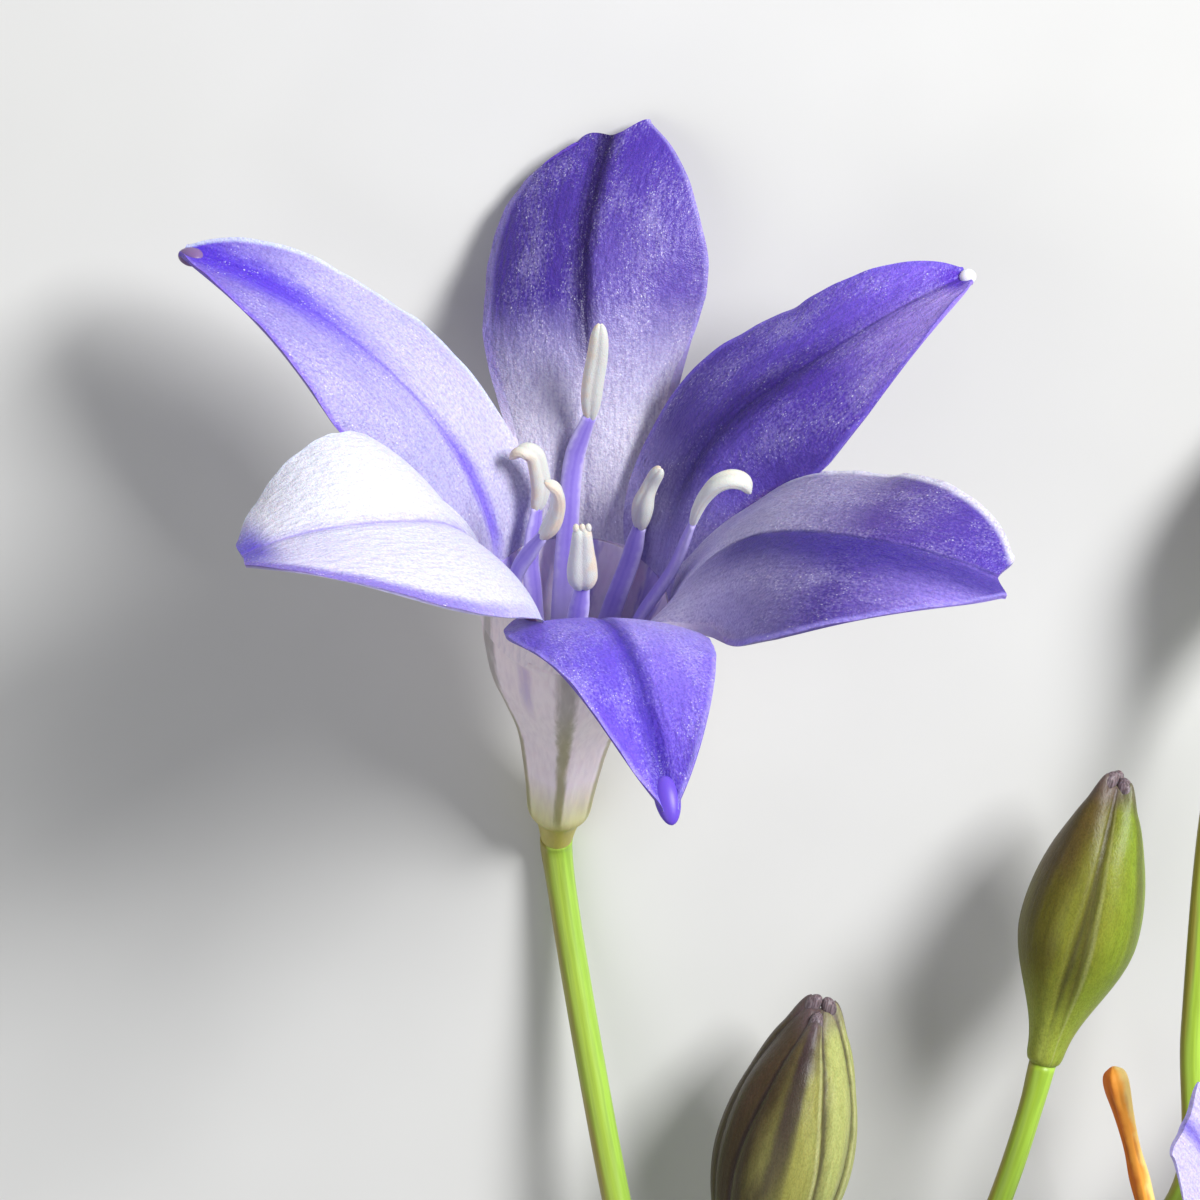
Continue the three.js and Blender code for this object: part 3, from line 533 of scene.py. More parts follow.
LAP = (0.12, 0.3, 0.25)  # share of the length over which it comes in, where it ends, and over what
TIP_ROWS = (0.3, 2.5)    # share of the rows' places drawn to the tip, and by what power
MIDRIB_COLUMNS = 1.25    # power by which the columns are drawn to the midrib
PETAL_EDGE = np.radians(55)  # faces that meet at more than this keep a crisp edge
# The sides, -1 or 1 of u, on which a petal lies under its neighbour
UNDER = {"left_lower": (1,), "left_upper": (1,), "right_lower": (-1,), "right_upper": (-1,),
         "back": (-1, 1), "front": ()}
# Hooded tips of the outer petals: half sizes along, across and through the petal, how far the
# middle lies from the tip in the same directions, and how much the hood narrows to its end
HOODS = {
    "left_upper": dict(sizes=(0.68, 0.56, 0.4), shift=(-0.48, 0.12, 0.04), taper=0.1),
    "right_upper": dict(sizes=(0.42, 0.42, 0.38), shift=(0, 0, 0.18), taper=0.0),
    "front": dict(sizes=(1.2, 0.62, 0.46), shift=(-0.55, 0, 0.03), taper=0.12),
}


def ball(centre, sizes, axes, rows=14, columns=20, taper=0.0):
    """An egg: half sizes along three axes, from pole to pole. taper narrows the end ahead and
    widens the one behind by that share."""
    p = np.linspace(0.08, np.pi - 0.08, rows)[:, None]
    q = np.linspace(0, 2 * np.pi, columns, endpoint=False)[None, :]
    ring = np.sin(p) * (1 - taper * np.cos(p))
    egg = np.stack([np.cos(p) + 0 * q, ring * np.cos(q), ring * np.sin(q)], axis=-1)
    return centre + (egg * sizes) @ axes


def hood_body(hood, front, behind, normals):
    """The hood as an egg on the middle of the tip, where the midrib runs out."""
    middle = front.shape[1] // 2
    tip = 0.5 * (front[-1, middle] + behind[-1, middle])
    forth = unit(front[-1, middle] - front[-4, middle])
    over = normals[-1, middle]
    axes = np.array([forth, np.cross(over, forth), over])
    return round_body(ball(tip + hood["shift"] @ axes, hood["sizes"], axes, taper=hood["taper"]))


def petal_relief(name, v, u, q, rng):
    """How far the inner face stands up from its plain form: waves along the margins as a sum of
    sines, the groove of the midrib, and the lap of the margins over and under the neighbours'."""
    starts = rng.uniform(0, 2 * np.pi, (2, len(WAVES)))
    waves = sum(np.sin(2 * np.pi * n * v + np.where(u < 0, *starts[:, k])) / (k + 1)
                for k, n in enumerate(WAVES))
    waves = RIPPLE * waves * np.abs(u) ** 5 * smooth((v - FOOT[1]) / RIPPLE_STARTS)
    groove = GROOVE_DEPTH * ridge(q, GROOVE_WIDTH) * (1 - GROOVE_FADES * v)
    comes_in, ends_at, ends_over = LAP
    lapped = smooth(v / comes_in) * (1 - smooth((v - ends_at) / ends_over))
    pressed = np.where(np.isin(np.sign(u), UNDER[name]), -TUCK, LIFT)
    return waves - groove + pressed * np.abs(u) ** 4 * lapped


def petal_thickness(v, u, q):
    """Thick in the middle and thin at the margins, as the cube of u, with the midrib's ridge."""
    thick = MARGIN_THICK + (PETAL_THICK - MARGIN_THICK) * (1 - np.abs(u) ** 3)
    vein = RIDGE_HEIGHT * ridge(q, RIDGE_WIDTH) * (1 - RIDGE_FADES * v)
    thick = thick + vein * smooth(v / RIDGE_STARTS)
    return PETAL_THICK + (thick - PETAL_THICK) * smooth(v / EVEN_FOOT)


def petal_piece(tag, name, petal, rows, columns, finish, slot_name, seed):
    """A closed blade from the petal's inner face and the face behind it, and the hood at the tip
    of those that have one."""
    t = np.linspace(0, 1, rows)[:, None]
    share, power = TIP_ROWS
    v = (1 - share) * t + share * (1 - (1 - t) ** power)
    s = np.linspace(-1, 1, columns)[None, :]
    u = np.sign(s) * np.abs(s) ** MIDRIB_COLUMNS
    face, q = petal_face(petal, v, u)
    normals = inner_normals(face, petal)
    relief = petal_relief(name, v, u, q, np.random.default_rng(seed))
    front = face + normals * relief[..., None]
    behind = face - normals * petal_thickness(v, u, q)[..., None]
    points, faces = blade(front, behind)
    inset = np.abs(q) * (1 / np.maximum(np.abs(u), 0.02) - 1)
    marks = blade_marks(q.shape, onward=v, side=u, across=q, inset=inset, knob=0.0)
    marks["outside"] = np.repeat([0.0, 1.0], q.size)
    if name in HOODS:
        hood = hood_body(HOODS[name], front, behind, normals)
        fill = dict(onward=1.0, side=0.0, across=0.0, inset=1.0, outside=0.0, knob=1.0)
        points, faces, marks = with_body(points, faces, marks, hood, fill)
    marks["length"] = marks["onward"] * petal["length"]
    piece = make_piece(f"{tag}_petal_{name}", slot_name, finish, laid_down(points, PLACES[tag]),
                       faces, **marks)
    piece.data.set_sharp_from_angle(angle=PETAL_EDGE)
    return piece


# %% [markdown]
# The petals' colour isn't one violet. It runs from a pale throat into violet, differs from one half of
# a petal to the other, darkens in a stripe along the midrib and pales at the margins. Part of that is
# painted light: the half of a folded petal that faces the lamp is drawn lighter and the other darker,
# some margins carry near-white painted highlights, and the two left petals are drawn near white where
# the lamp falls on them. On top of it lie a grain that runs with the veins, soft blotches and tiny
# bright glints, painted highlights on the swollen cells of the skin. All of that follows the marks that
# every point carries, so it bends with the petal.

# %% Colours of the petals
# places: shares of the length at which the four colours stand. plus and minus: those colours on the
# half where u is above or below 0. band: colour of the soft band along the midrib, its half width
# in millimetres, its strength, the stretch over which it comes in, and how far it lies to one side.
# line: colour of the fine line in it. tip: colour of the wash at the tip, the stretch over which it
# comes in, and its half width. margins: colour and width of the two margins, minus and plus. grain:
# strength of the veins' grain. glints: share of the skin's cells that glint. speck: strength of the
# mottling. Some petals have more: meet is half the width, as a share, over which the halves blend,
# fades the stretch over which the band weakens again, and margins_in the one over which the
# margins come in.
EVEN = (0.0, 0.3, 0.64, 0.97)
# Part of these colours is painted light. left_lower and left_upper are drawn near white as painted
# light where the lamp falls on them, and right_upper's darker violet is partly painted shade. The two
# halves of a folded petal differ partly in their own colour and partly by painted light and shade. The
# near-white margins of right_lower, left_lower and left_upper are painted highlights along their rims,
# and left_lower's broad violet plus margin is partly painted shade on its curled lower edge.
LOOKS = {
    "back": dict(
        places=(0.0, 0.28, 0.56, 0.95),
        minus=[ink(210, 206, 216), ink(198, 194, 212), ink(112, 92, 180), ink(82, 54, 170)],
        plus=[ink(212, 208, 218), ink(202, 198, 216), ink(76, 52, 154), ink(84, 60, 166)],
        band=(ink(34, 12, 84), 0.55, 0.96, 0.34, 0.56, 0.08), line=ink(30, 10, 74), tip=None,
        margins=((ink(160, 148, 220), 0.3), (ink(150, 138, 206), 0.7)),
        grain=0.6, glints=0.45, speck=0.5),
    "right_upper": dict(
        places=EVEN,
        minus=[ink(176, 166, 210), ink(106, 84, 186), ink(92, 62, 180), ink(180, 154, 240)],
        plus=[ink(196, 188, 226), ink(84, 64, 152), ink(98, 70, 192), ink(132, 102, 226)],
        band=(ink(46, 22, 112), 0.9, 0.85, 0.08, 0.3, 0.0), fades=(0.5, 0.8), line=ink(40, 18, 104),
        tip=(ink(84, 40, 190), 0.92, 0.97, 0.9),
        margins=((ink(128, 104, 222), 0.3), (ink(120, 98, 214), 0.4)),
        grain=0.6, glints=0.3, speck=0.5),
    "right_lower": dict(
        places=(0.0, 0.32, 0.7, 0.97),
        minus=[ink(216, 212, 232), ink(196, 188, 224), ink(74, 48, 148), ink(168, 146, 240)],
        plus=[ink(212, 208, 228), ink(210, 206, 230), ink(86, 62, 148), ink(88, 62, 176)],
        band=(ink(48, 16, 140), 1.6, 0.9, 0.2, 0.42, -1.2), line=ink(36, 12, 110), tip=None, meet=0.06,
        margins=((ink(160, 146, 232), 0.4), (ink(244, 244, 252), 0.75)),
        grain=0.6, glints=0.3, speck=0.7),
    "front": dict(
        places=EVEN,
        minus=[ink(170, 158, 226), ink(136, 114, 228), ink(104, 76, 214), ink(108, 78, 212)],
        plus=[ink(184, 174, 234), ink(188, 178, 240), ink(136, 112, 228), ink(114, 86, 216)],
        band=(ink(58, 28, 162), 0.55, 0.85, 0.0, 0.3, -0.1), line=ink(50, 24, 146), tip=None,
        margins=((ink(150, 134, 236), 0.3), (ink(168, 154, 244), 0.3)),
        grain=0.5, glints=0.45, speck=0.7),
    "left_lower": dict(
        places=(0.0, 0.3, 0.8, 1.0),
        minus=[ink(212, 210, 230), ink(226, 228, 236), ink(228, 230, 240), ink(226, 224, 240)],
        plus=[ink(210, 208, 230), ink(216, 218, 232), ink(214, 214, 236), ink(214, 208, 238)],
        band=(ink(118, 88, 216), 0.46, 0.8, 0.0, 0.1, 0.0), fades=(0.26, 0.5), line=ink(140, 118, 224),
        tip=(ink(66, 26, 196), 0.91, 0.975, 3.2),
        margins=((ink(226, 234, 250), 0.3), (ink(112, 86, 196), 1.1)), margins_in=(0.35, 0.75),
        grain=0.3, glints=0.45, speck=0.45),
    "left_upper": dict(
        places=(0.0, 0.3, 0.7, 0.97),
        minus=[ink(198, 194, 218), ink(198, 195, 222), ink(178, 172, 220), ink(122, 98, 210)],
        plus=[ink(192, 186, 218), ink(174, 170, 210), ink(158, 148, 212), ink(106, 78, 202)],
        band=(ink(112, 80, 220), 0.42, 0.75, 0.0, 0.1, 0.0), fades=(0.24, 0.42), line=ink(92, 62, 204),
        tip=(ink(88, 50, 218), 0.4, 0.82, 0.95),
        margins=((ink(214, 224, 250), 0.35), (ink(130, 102, 220), 0.35)),
        grain=0.4, glints=0.5, speck=0.55),
}
INNER_LOOK = dict(
    places=EVEN,
    minus=[ink(218, 214, 234), ink(208, 202, 240), ink(204, 196, 242), ink(200, 192, 242)],
    plus=[ink(218, 214, 234), ink(206, 200, 240), ink(202, 194, 242), ink(198, 190, 242)],
    band=(ink(104, 80, 200), 0.5, 0.65, 0.0, 0.3, 0.0), line=ink(90, 66, 188), tip=None,
    margins=((ink(206, 202, 244), 0.3), (ink(206, 202, 244), 0.3)), grain=0.5, glints=0.4, speck=0.6)
OUTER_LOOK = dict(
    places=EVEN,
    minus=[ink(190, 180, 226), ink(142, 124, 220), ink(122, 100, 214), ink(112, 90, 210)],
    plus=[ink(190, 180, 226), ink(138, 120, 218), ink(118, 96, 212), ink(110, 86, 208)],
    band=(ink(72, 44, 178), 0.5, 0.75, 0.0, 0.2, 0.0), line=ink(62, 36, 164), tip=None,
    margins=((ink(166, 156, 230), 0.3), (ink(170, 160, 232), 0.3)), grain=0.5, glints=0.3, speck=0.6)
HOOD_COLOURS = {"left_upper": ink(120, 90, 142), "right_upper": ink(232, 228, 240),
                "front": ink(100, 70, 200)}
# White of the painted glints, highlights laid into the colour
GLINT = ink(248, 246, 255)
TUBE_LILAC = ink(250, 236, 246)
GREY_RIB = ink(150, 146, 140)
# How often each noise changes in a millimetre across the petal, along it and from face to face
BLOTCHES = (0.5, 0.22, 1)
HAMMERING = (2.8, 1.4, 1)
VEINS = (5.5, 0.8, 1)
SKIN = (8, 5.5, 1)
SMALL_GLINTS = (10, 8, 9)
LARGE_GLINTS = (6, 4.5, 9)


def petal_finish(name, look, hood):
    """Colour by the share of the length on each half, the halves partly painted light and shade, then
    the band along the midrib, the wash at the tip, the margins, the grain and the glints, which are
    painted highlights. The face behind is duller, and pale towards its foot as the tube is."""
    f = Finish(name, Roughness=0.4, Specular_IOR_Level=0.38, Subsurface_Weight=0.1,
               Subsurface_Scale=0.4 * MM)
    onward, side, across, outside = [f.mark(m) for m in ("onward", "side", "across", "outside")]
    at = f.flat(across, f.mark("length"), outside)
    # The halves' colours are partly the petal's own and partly painted light and shade: the half that
    # faces the lamp is drawn lighter.
    halves = [f.ramp(onward, list(zip(look["places"], look[half]))) for half in ("minus", "plus")]
    blotch = f.noise(at, BLOTCHES, 3.0)
    hammered = f.noise(at, HAMMERING, 1.5)
    grain = f.noise(at, VEINS, 4.0)
    fine = f.noise(at, SKIN, 3.0)
    meet = look.get("meet", 0.3)
    shifted = f.ragged(side, blotch, 2 * meet)
    colour = f.blend(f.band(shifted, -meet, meet), *halves)
    patch = f.band(f.sum("ADD", f.times(blotch, 0.6), f.times(fine, 0.4)), 0.47, 0.66)
    colour = f.lay(colour, ink(214, 208, 240), patch, 0.25)

    def near_midrib(wide, beside, rough):
        """1 on the line that lies beside the midrib, 0 from 1.7 times wide on, with a ragged edge."""
        off = f.size(f.sum("SUBTRACT", across, f.times(onward, beside)))
        return f.band(f.ragged(off, grain, rough), 1.7 * wide, 0.15 * wide)

    band, wide, strong, comes_in, full, beside = look["band"]
    share = f.times(near_midrib(wide, beside, 0.5), f.band(onward, comes_in - 0.05, full))
    if "meet" in look:
        share = f.times(share, f.band(f.ragged(across, grain, 0.2), 0.12, -0.12))
    if "fades" in look:
        share = f.times(share, f.sum("SUBTRACT", 1.0, f.times(f.band(onward, *look["fades"]), 0.7)))
    colour = f.lay(colour, band, share, strong)
    clear = f.sum("SUBTRACT", 1.0, f.times(share, 0.8))
    if look["tip"]:
        wash, comes_in, full, wide = look["tip"]
        share = f.times(near_midrib(wide, 0.0, 0.9), f.band(onward, comes_in, full))
        colour = f.lay(colour, wash, share, 0.9)
    line = f.times(near_midrib(0.09, 0.0, 0.12), f.band(onward, 0.1, 0.4))
    colour = f.lay(colour, look["line"], line, 0.6 * strong)
    inset = f.ragged(f.mark("inset"), fine, 0.25)
    # Margins: the near-white rims are painted highlights, and left_lower's broad violet one is partly
    # painted shade.
    for (margin, wide), way in zip(look["margins"], (-1.0, 1.0)):
        edge = f.times(f.band(inset, wide, 0.3 * wide), f.band(f.times(side, way), 0.1, 0.3))
        comes_in = f.band(onward, *look.get("margins_in", (0.15, 0.4)))
        colour = f.lay(colour, margin, f.times(edge, 0.85), comes_in)
    veined = (grain, (0.32, ink(206, 202, 224)), (0.52, ink(246, 245, 250)), (0.7, WHITE))
    colour = f.darken(colour, look["grain"], *veined)
    colour = f.darken(colour, look["speck"], fine, (0.36, ink(204, 198, 228)), (0.56, WHITE))
    # Glints: painted highlights, white spots laid into the colour on the skin's cells.
    glints = f.sum("ADD", f.times(f.glints(at, SMALL_GLINTS, look["glints"], 0.42), 0.42),
                   f.times(f.glints(at, LARGE_GLINTS, 0.08, 0.3), 0.9))
    glints = f.times(glints, f.times(f.band(blotch, 0.36, 0.6), f.band(hammered, 0.36, 0.6)))
    glints = f.times(glints, clear)
    colour = f.blend(glints, colour, GLINT)

    rib = f.times(f.band(f.ragged(f.size(across), grain, 0.4), 0.62, 0.15),
                  f.band(onward, 0.8, 0.0))
    dull = f.blend(0.35, halves[0], ink(112, 88, 196))
    behind = f.darken(f.blend(f.band(onward, 0.05, 0.35), TUBE_LILAC, dull), 0.4, *veined)
    behind = f.lay(behind, GREY_RIB, rib, 0.6)
    colour = f.blend(outside, colour, behind)
    # The hood's colour with painted glints on it.
    knob = f.lay(hood, GLINT, f.band(fine, 0.5, 0.75), 0.3)
    colour = f.blend(f.mark("knob"), colour, knob)
    cells = f.step("TexVoronoi", {"Vector": at, "Scale": 11.0})
    relief = f.times(f.sum("SUBTRACT", f.sum("ADD", grain, fine), cells), 0.5)
    relief = f.sum("ADD", relief, f.times(hammered, 2.4))
    return f.cover(colour, relief, depth=0.07, strength=0.6)


# %% Petals of both flowers
GRIDS = {"flower_1": (110, 65), "flower_2": (72, 45)}
PALE = ("left_lower", "left_upper")
petals = []
for tag, shapes in (("flower_1", PETALS_1), ("flower_2", PETALS_2)):
    for number, (name, petal) in enumerate(shapes.items()):
        look = LOOKS[name] if tag == "flower_1" else INNER_LOOK if name in INNER else OUTER_LOOK
        finish = petal_finish(f"{tag} petal {name}", look, HOOD_COLOURS.get(name, GLINT))
        slot_name = "petal_pale" if name in PALE else "petal_violet"
        petals.append(petal_piece(tag, name, petal, *GRIDS[tag], finish, slot_name, seed=number))
print("petals:", len(petals), "faces:", sum(len(p.data.polygons) for p in petals))

# %% [markdown]
# The tube below the petals is a funnel of thin tissue. Six ribs run down it, one under each petal,
# and the neck at its foot is the swollen end of the stalk. A turned profile is all that it takes:
# the outside is followed from the neck up to the mouth, over the rim and down the inside to the
# floor. Its profile is the solid's as a smooth curve, thinned at the mouth to meet the petals' feet.

# %% The flower tube
TUBE_LENGTH = 15.5
TUBE_FLOOR = 1.0
TUBE_OUTSIDE = [[-2.4, 0.82], [-1.2, 1.05], [-0.5, 1.28], [0, 1.6], [1.9, 1.84], [4.3, 2.14], [7, 2.6],
                [9.7, 3.48], [12, 4.3], [TUBE_LENGTH, 5.2]]
TUBE_WALL = 0.6
RIM_INSET = 0.02         # how far the rim lies inside the petals' backs
THINNING = 5             # length below the mouth over which the wall thins to the petals' feet
RIB = 0.04               # height of the six ribs, as a share of the radius
RIB_FADES = (1.5, 1.0)   # lengths over which they come in above the neck and end at the mouth
# The rim's thin lip, let into the petals' feet: height above the mouth, distance from their backs
LIP = [[0.15, -0.08], [0.15, -0.2], [0, -0.25]]
RIM_EDGE = np.radians(60)


def smooth_profile(pairs, count):
    """count points of a smooth curve through [height, radius] pairs."""
    return path_through([[h, r, 0] for h, r in pairs], count)[:, :2]


def turned(heights, radii, sides, shape=None):
    """Rings round the Z axis, one for each height. shape multiplies a radius by height and angle."""
    q = np.linspace(0, 2 * np.pi, sides, endpoint=False)[None, :]
    h, r = np.asarray(heights, float)[:, None], np.asarray(radii, float)[:, None]
    if shape is not None:
        r = r * shape(h, q)
    return np.stack([r * np.cos(q), r * np.sin(q), h + 0 * q], axis=-1), q


def tube_piece(tag, finish, rows, sides):
    """The funnel's outside from neck to mouth and its inside from mouth to floor."""
    outer = smooth_profile(TUBE_OUTSIDE, rows)
    thin = smooth((outer[:, 0] - TUBE_LENGTH + THINNING) / THINNING)
    outer[:, 1] -= (TUBE_WALL - PETAL_THICK + RIM_INSET) * thin
    above = outer[:, 0] >= TUBE_FLOOR
    inner = outer[above][::-1].copy()
    inner[:, 1] -= TUBE_WALL - (TUBE_WALL - PETAL_THICK) * thin[above][::-1]
    lip = np.array(LIP) + [TUBE_LENGTH, MOUTH_RADIUS + PETAL_THICK]
    profile = np.concatenate([outer, lip, inner])
    inside = np.concatenate([np.zeros(len(outer) + 1), np.ones(len(lip) + len(inner) - 1)])[:, None]

    def ribs(h, q):
        there = smooth(h / RIB_FADES[0]) * smooth((TUBE_LENGTH - h) / RIB_FADES[1])
        return 1 - (1 - inside) * RIB * np.cos(6 * q) * there

    rings, q = turned(profile[:, 0], profile[:, 1], sides, ribs)
    marks = ring_marks(rings, height=profile[:, :1], lobe=np.cos(6 * q), inside=inside,
                       east=rings[..., 0], north=rings[..., 1])
    points, faces = round_body(rings - [0, 0, TUBE_LENGTH])
    piece = make_piece(f"{tag}_tube", "flower_tube", finish, laid_down(points, PLACES[tag]),
                       faces, **marks)
    piece.data.set_sharp_from_angle(angle=RIM_EDGE)
    return piece


# %% The tubes' finish
OLIVE = ink(140, 136, 66)
TUBE_VIOLET = ink(158, 132, 210)
CREAM_GREEN = ink(226, 222, 166)
NECK_TAN = ink(192, 182, 90)
THROAT_LILAC = ink(236, 228, 242)
THROAT_VIOLET = ink(176, 160, 222)


def tube_finish(name):
    """Outside, lilac fades into a cream foot, with a stripe down each rib, grey at the mouth and
    olive below. Inside, violet bands alternate with pale ridges."""
    f = Finish(name, Roughness=0.42, Specular_IOR_Level=0.35, Subsurface_Weight=0.15,
               Subsurface_Scale=0.5 * MM)
    height, lobe = f.mark("height"), f.mark("lobe")
    span = TUBE_LENGTH - TUBE_OUTSIDE[0][0]
    share = f.sum("DIVIDE", f.sum("SUBTRACT", height, TUBE_OUTSIDE[0][0]), span)
    at = f.flat(f.mark("east"), f.mark("north"), height)
    grain = f.noise(at, (4, 4, 0.35), 4.0)
    fine = f.noise(at, (12, 12, 3), 2.0)
    outside = f.ramp(share, [(0.0, NECK_TAN), (0.12, NECK_TAN), (0.17, CREAM_GREEN), (0.36, TUBE_LILAC),
                             (1.0, TUBE_LILAC)])
    uneven = f.ragged(lobe, grain, 0.4)
    stripe = f.times(f.band(uneven, -0.55, -0.98), f.band(share, 0.1, 0.2))
    stripe_colour = f.blend(f.band(share, 0.55, 0.9), OLIVE, GREY_RIB)
    outside = f.lay(outside, stripe_colour, stripe, 0.75)
    at_mouth = f.times(f.band(share, 0.66, 0.84), f.band(share, 1.0, 0.94))
    streak = f.times(f.band(uneven, 0.75, 1.05), at_mouth)
    outside = f.lay(outside, TUBE_VIOLET, streak, 0.5)
    ragged = f.ragged(lobe, grain, 1.2)
    inside = f.blend(f.band(ragged, -0.1, -0.85), THROAT_LILAC, THROAT_VIOLET)
    inside = f.blend(f.band(share, 0.55, 0.15), inside, CREAM_GREEN)
    colour = f.blend(f.mark("inside"), outside, inside)
    colour = f.darken(colour, 0.3, grain, (0.3, ink(216, 208, 222)), (0.6, WHITE))
    return f.cover(colour, f.sum("ADD", grain, f.times(fine, 0.5)), depth=0.05, strength=0.25)


tubes = [tube_piece("flower_1", tube_finish("flower tube"), 90, 120),
         tube_piece("flower_2", bpy.data.materials["flower tube"], 60, 84)]
print("tubes:", [len(p.data.polygons) for p in tubes])

# %% [markdown]
# Six stamens stand in the throat. Each has a flat violet strap, the filament, and on it an anther:
# two long sacs side by side with a furrow between them and a slit down each, dusted with pollen.
# Both are carried along a path. The section of the anther is a flattened round pinched in the
# middle of both faces, and its sacs reach past the furrow at both ends.

# %% Stamens: paths and numbers
# Points are given as degrees round the axis, distance from it and height above the mouth.
STAMENS_1 = {
    "back": dict(
        strap=[[104, 2.3, -5.6], [105, 2.65, -2.5], [100, 4.4, 1.5], [97, 5.9, 4.5]],
        sacs=[[91, 6.45, 6.45], [91, 6.9, 8.6], [90, 7.3, 10.4], [90, 7.6, 12.2]],
        belly=[0.75, 0.98, 1, 0.95, 0.85], half=0.56),
    "left_upper": dict(
        strap=[[140, 2.3, -5.6], [137, 3.1, -1.2], [135, 3.5, 0.3]],
        sacs=[[132, 5.75, 5.6], [128, 5.5, 6.1], [122, 5.2, 5.9], [120, 4.85, 5], [120, 4.5, 3.9],
              [125, 4.2, 2.7]],
        belly=[0.9, 0.95, 1, 1.05, 1, 0.85], half=0.52),
    "left_lower": dict(
        strap=[[206, 2.3, -5.6], [206, 2.9, -1.6], [197, 3.2, 2.7]],
        sacs=[[197, 2.1, 9.2], [204, 1.65, 8.9], [204, 1.4, 7.8], [203, 1.6, 6.4], [200, 2.15, 5.3]],
        belly=[0.85, 0.9, 1, 1.1, 0.95], half=0.5),
    "front": dict(
        strap=[[-92, 2.3, -5.6], [-90, 2.9, -1.5], [-88, 3.1, 1.5], [-86, 2.95, 3.65]],
        sacs=[[-84, 2.75, 4], [-86, 2.6, 5.2], [-88, 2.4, 6.6], [-90, 2.2, 7.9]],
        belly=[0.9, 1.1, 1.04, 0.88, 0.78, 0.86], half=0.72),
    "right_upper": dict(
        strap=[[56, 2.3, -5.6], [50, 3, -2], [50, 3.9, 0.3]],
        sacs=[[51, 4.5, 2], [52, 4.65, 3], [52, 4.85, 4.1], [51, 5.2, 5.1], [48, 5.4, 6.1]],
        belly=[0.75, 1.05, 1.12, 0.85, 0.8, 0.95], half=0.52),
    "right_lower": dict(
        strap=[[0, 2.3, -5.6], [-1, 3.2, -0.7], [-3, 4.6, 3.3]],
        sacs=[[-3, 8.05, 9.55], [-3, 7.65, 10.2], [-4, 7.05, 10.4], [-5, 6.45, 10.1], [-6, 5.9, 9.2],
              [-7, 5.55, 8.1], [-7, 5.4, 7]],
        belly=[1.05, 1.1, 1.05, 0.9, 0.8, 0.75], half=0.5),
}
STAMEN_2 = dict(
    strap=[[0, 2.3, -5.6], [0, 3.1, -1.2], [0, 4.1, 2.2], [0, 4.8, 5]],
    sacs=[[0, 4.9, 5.3], [0, 5.1, 6.6], [0, 5.5, 8], [0, 5.9, 9.3]],
    belly=[0.75, 1.05, 1, 0.85, 0.7], half=0.52)
STRAP_HALF_WIDTH = 0.62
STRAP_TAPER = 0.2
STRAP_NECK = 0.2         # and how much more just below the anther
JOINT = 1.25             # stretch over which a strap bends towards its anther
SAC_FLATNESS = 0.78
FURROW = 0.2             # depth of the furrow between the sacs, as a share of their thickness
SLIT = 0.05
SAC_REACH = 0.12         # how far the sacs pass the furrow at either end
TEETH = (-0.3, 0.0, 0.3)  # places of the three small teeth on top of the front anther
TOOTH = (0.26, 0.17, 0.19)
TOOTH_SUNK = 0.08


def carried(path, half_wide, half_thick, near, sides, shape=None, shift=None):
    """Rings of a section carried along a path: wide lies as near to near as it can, thick is across
    it and the path. shape multiplies the section and shift moves its points along the path."""
    t = np.linspace(0, 1, len(path))[:, None]
    q = np.linspace(0, 2 * np.pi, sides, endpoint=False)[None, :]
    onward = unit(np.gradient(path, axis=0))
    wide = unit(near - onward * (onward @ near)[:, None])
    thick = np.cross(onward, wide)
    size = np.ones_like(q) if shape is None else shape(t, q)
    a = (half_wide(t) * np.cos(q) * size)[..., None]
    b = (half_thick(t) * np.sin(q) * size)[..., None]
    rings = path[:, None] + a * wide[:, None] + b * thick[:, None]
    if shift is not None:
        rings = rings + shift(t, q)[..., None] * onward[:, None]
    return rings, t, q


def round_the_axis(points, turn):
    """Points given as degrees round the axis, distance and height, turned further by turn."""
    around, r, h = np.asarray(points, float).T
    q = np.radians(around + turn)
    return np.column_stack([r * np.cos(q), r * np.sin(q), h])


def sac_size(t):
    """Half size along an anther: nearly even, with rounded ends."""
    return np.sqrt(np.maximum(0.05, 1 - np.abs(2 * t - 1) ** 5))


def pinched(t, q):
    """The furrow on both faces and the slit down both sides of an anther's section."""
    return 1 - FURROW * ridge(np.cos(q), 0.34) - SLIT * ridge(np.sin(q), 0.16)


def sacs_ahead(t, q):
    """At the ends the sacs move past the furrow between them."""
    return SAC_REACH * (np.abs(np.cos(q)) - 0.6) * (smooth((t - 0.8) / 0.2) - smooth((0.2 - t) / 0.2))


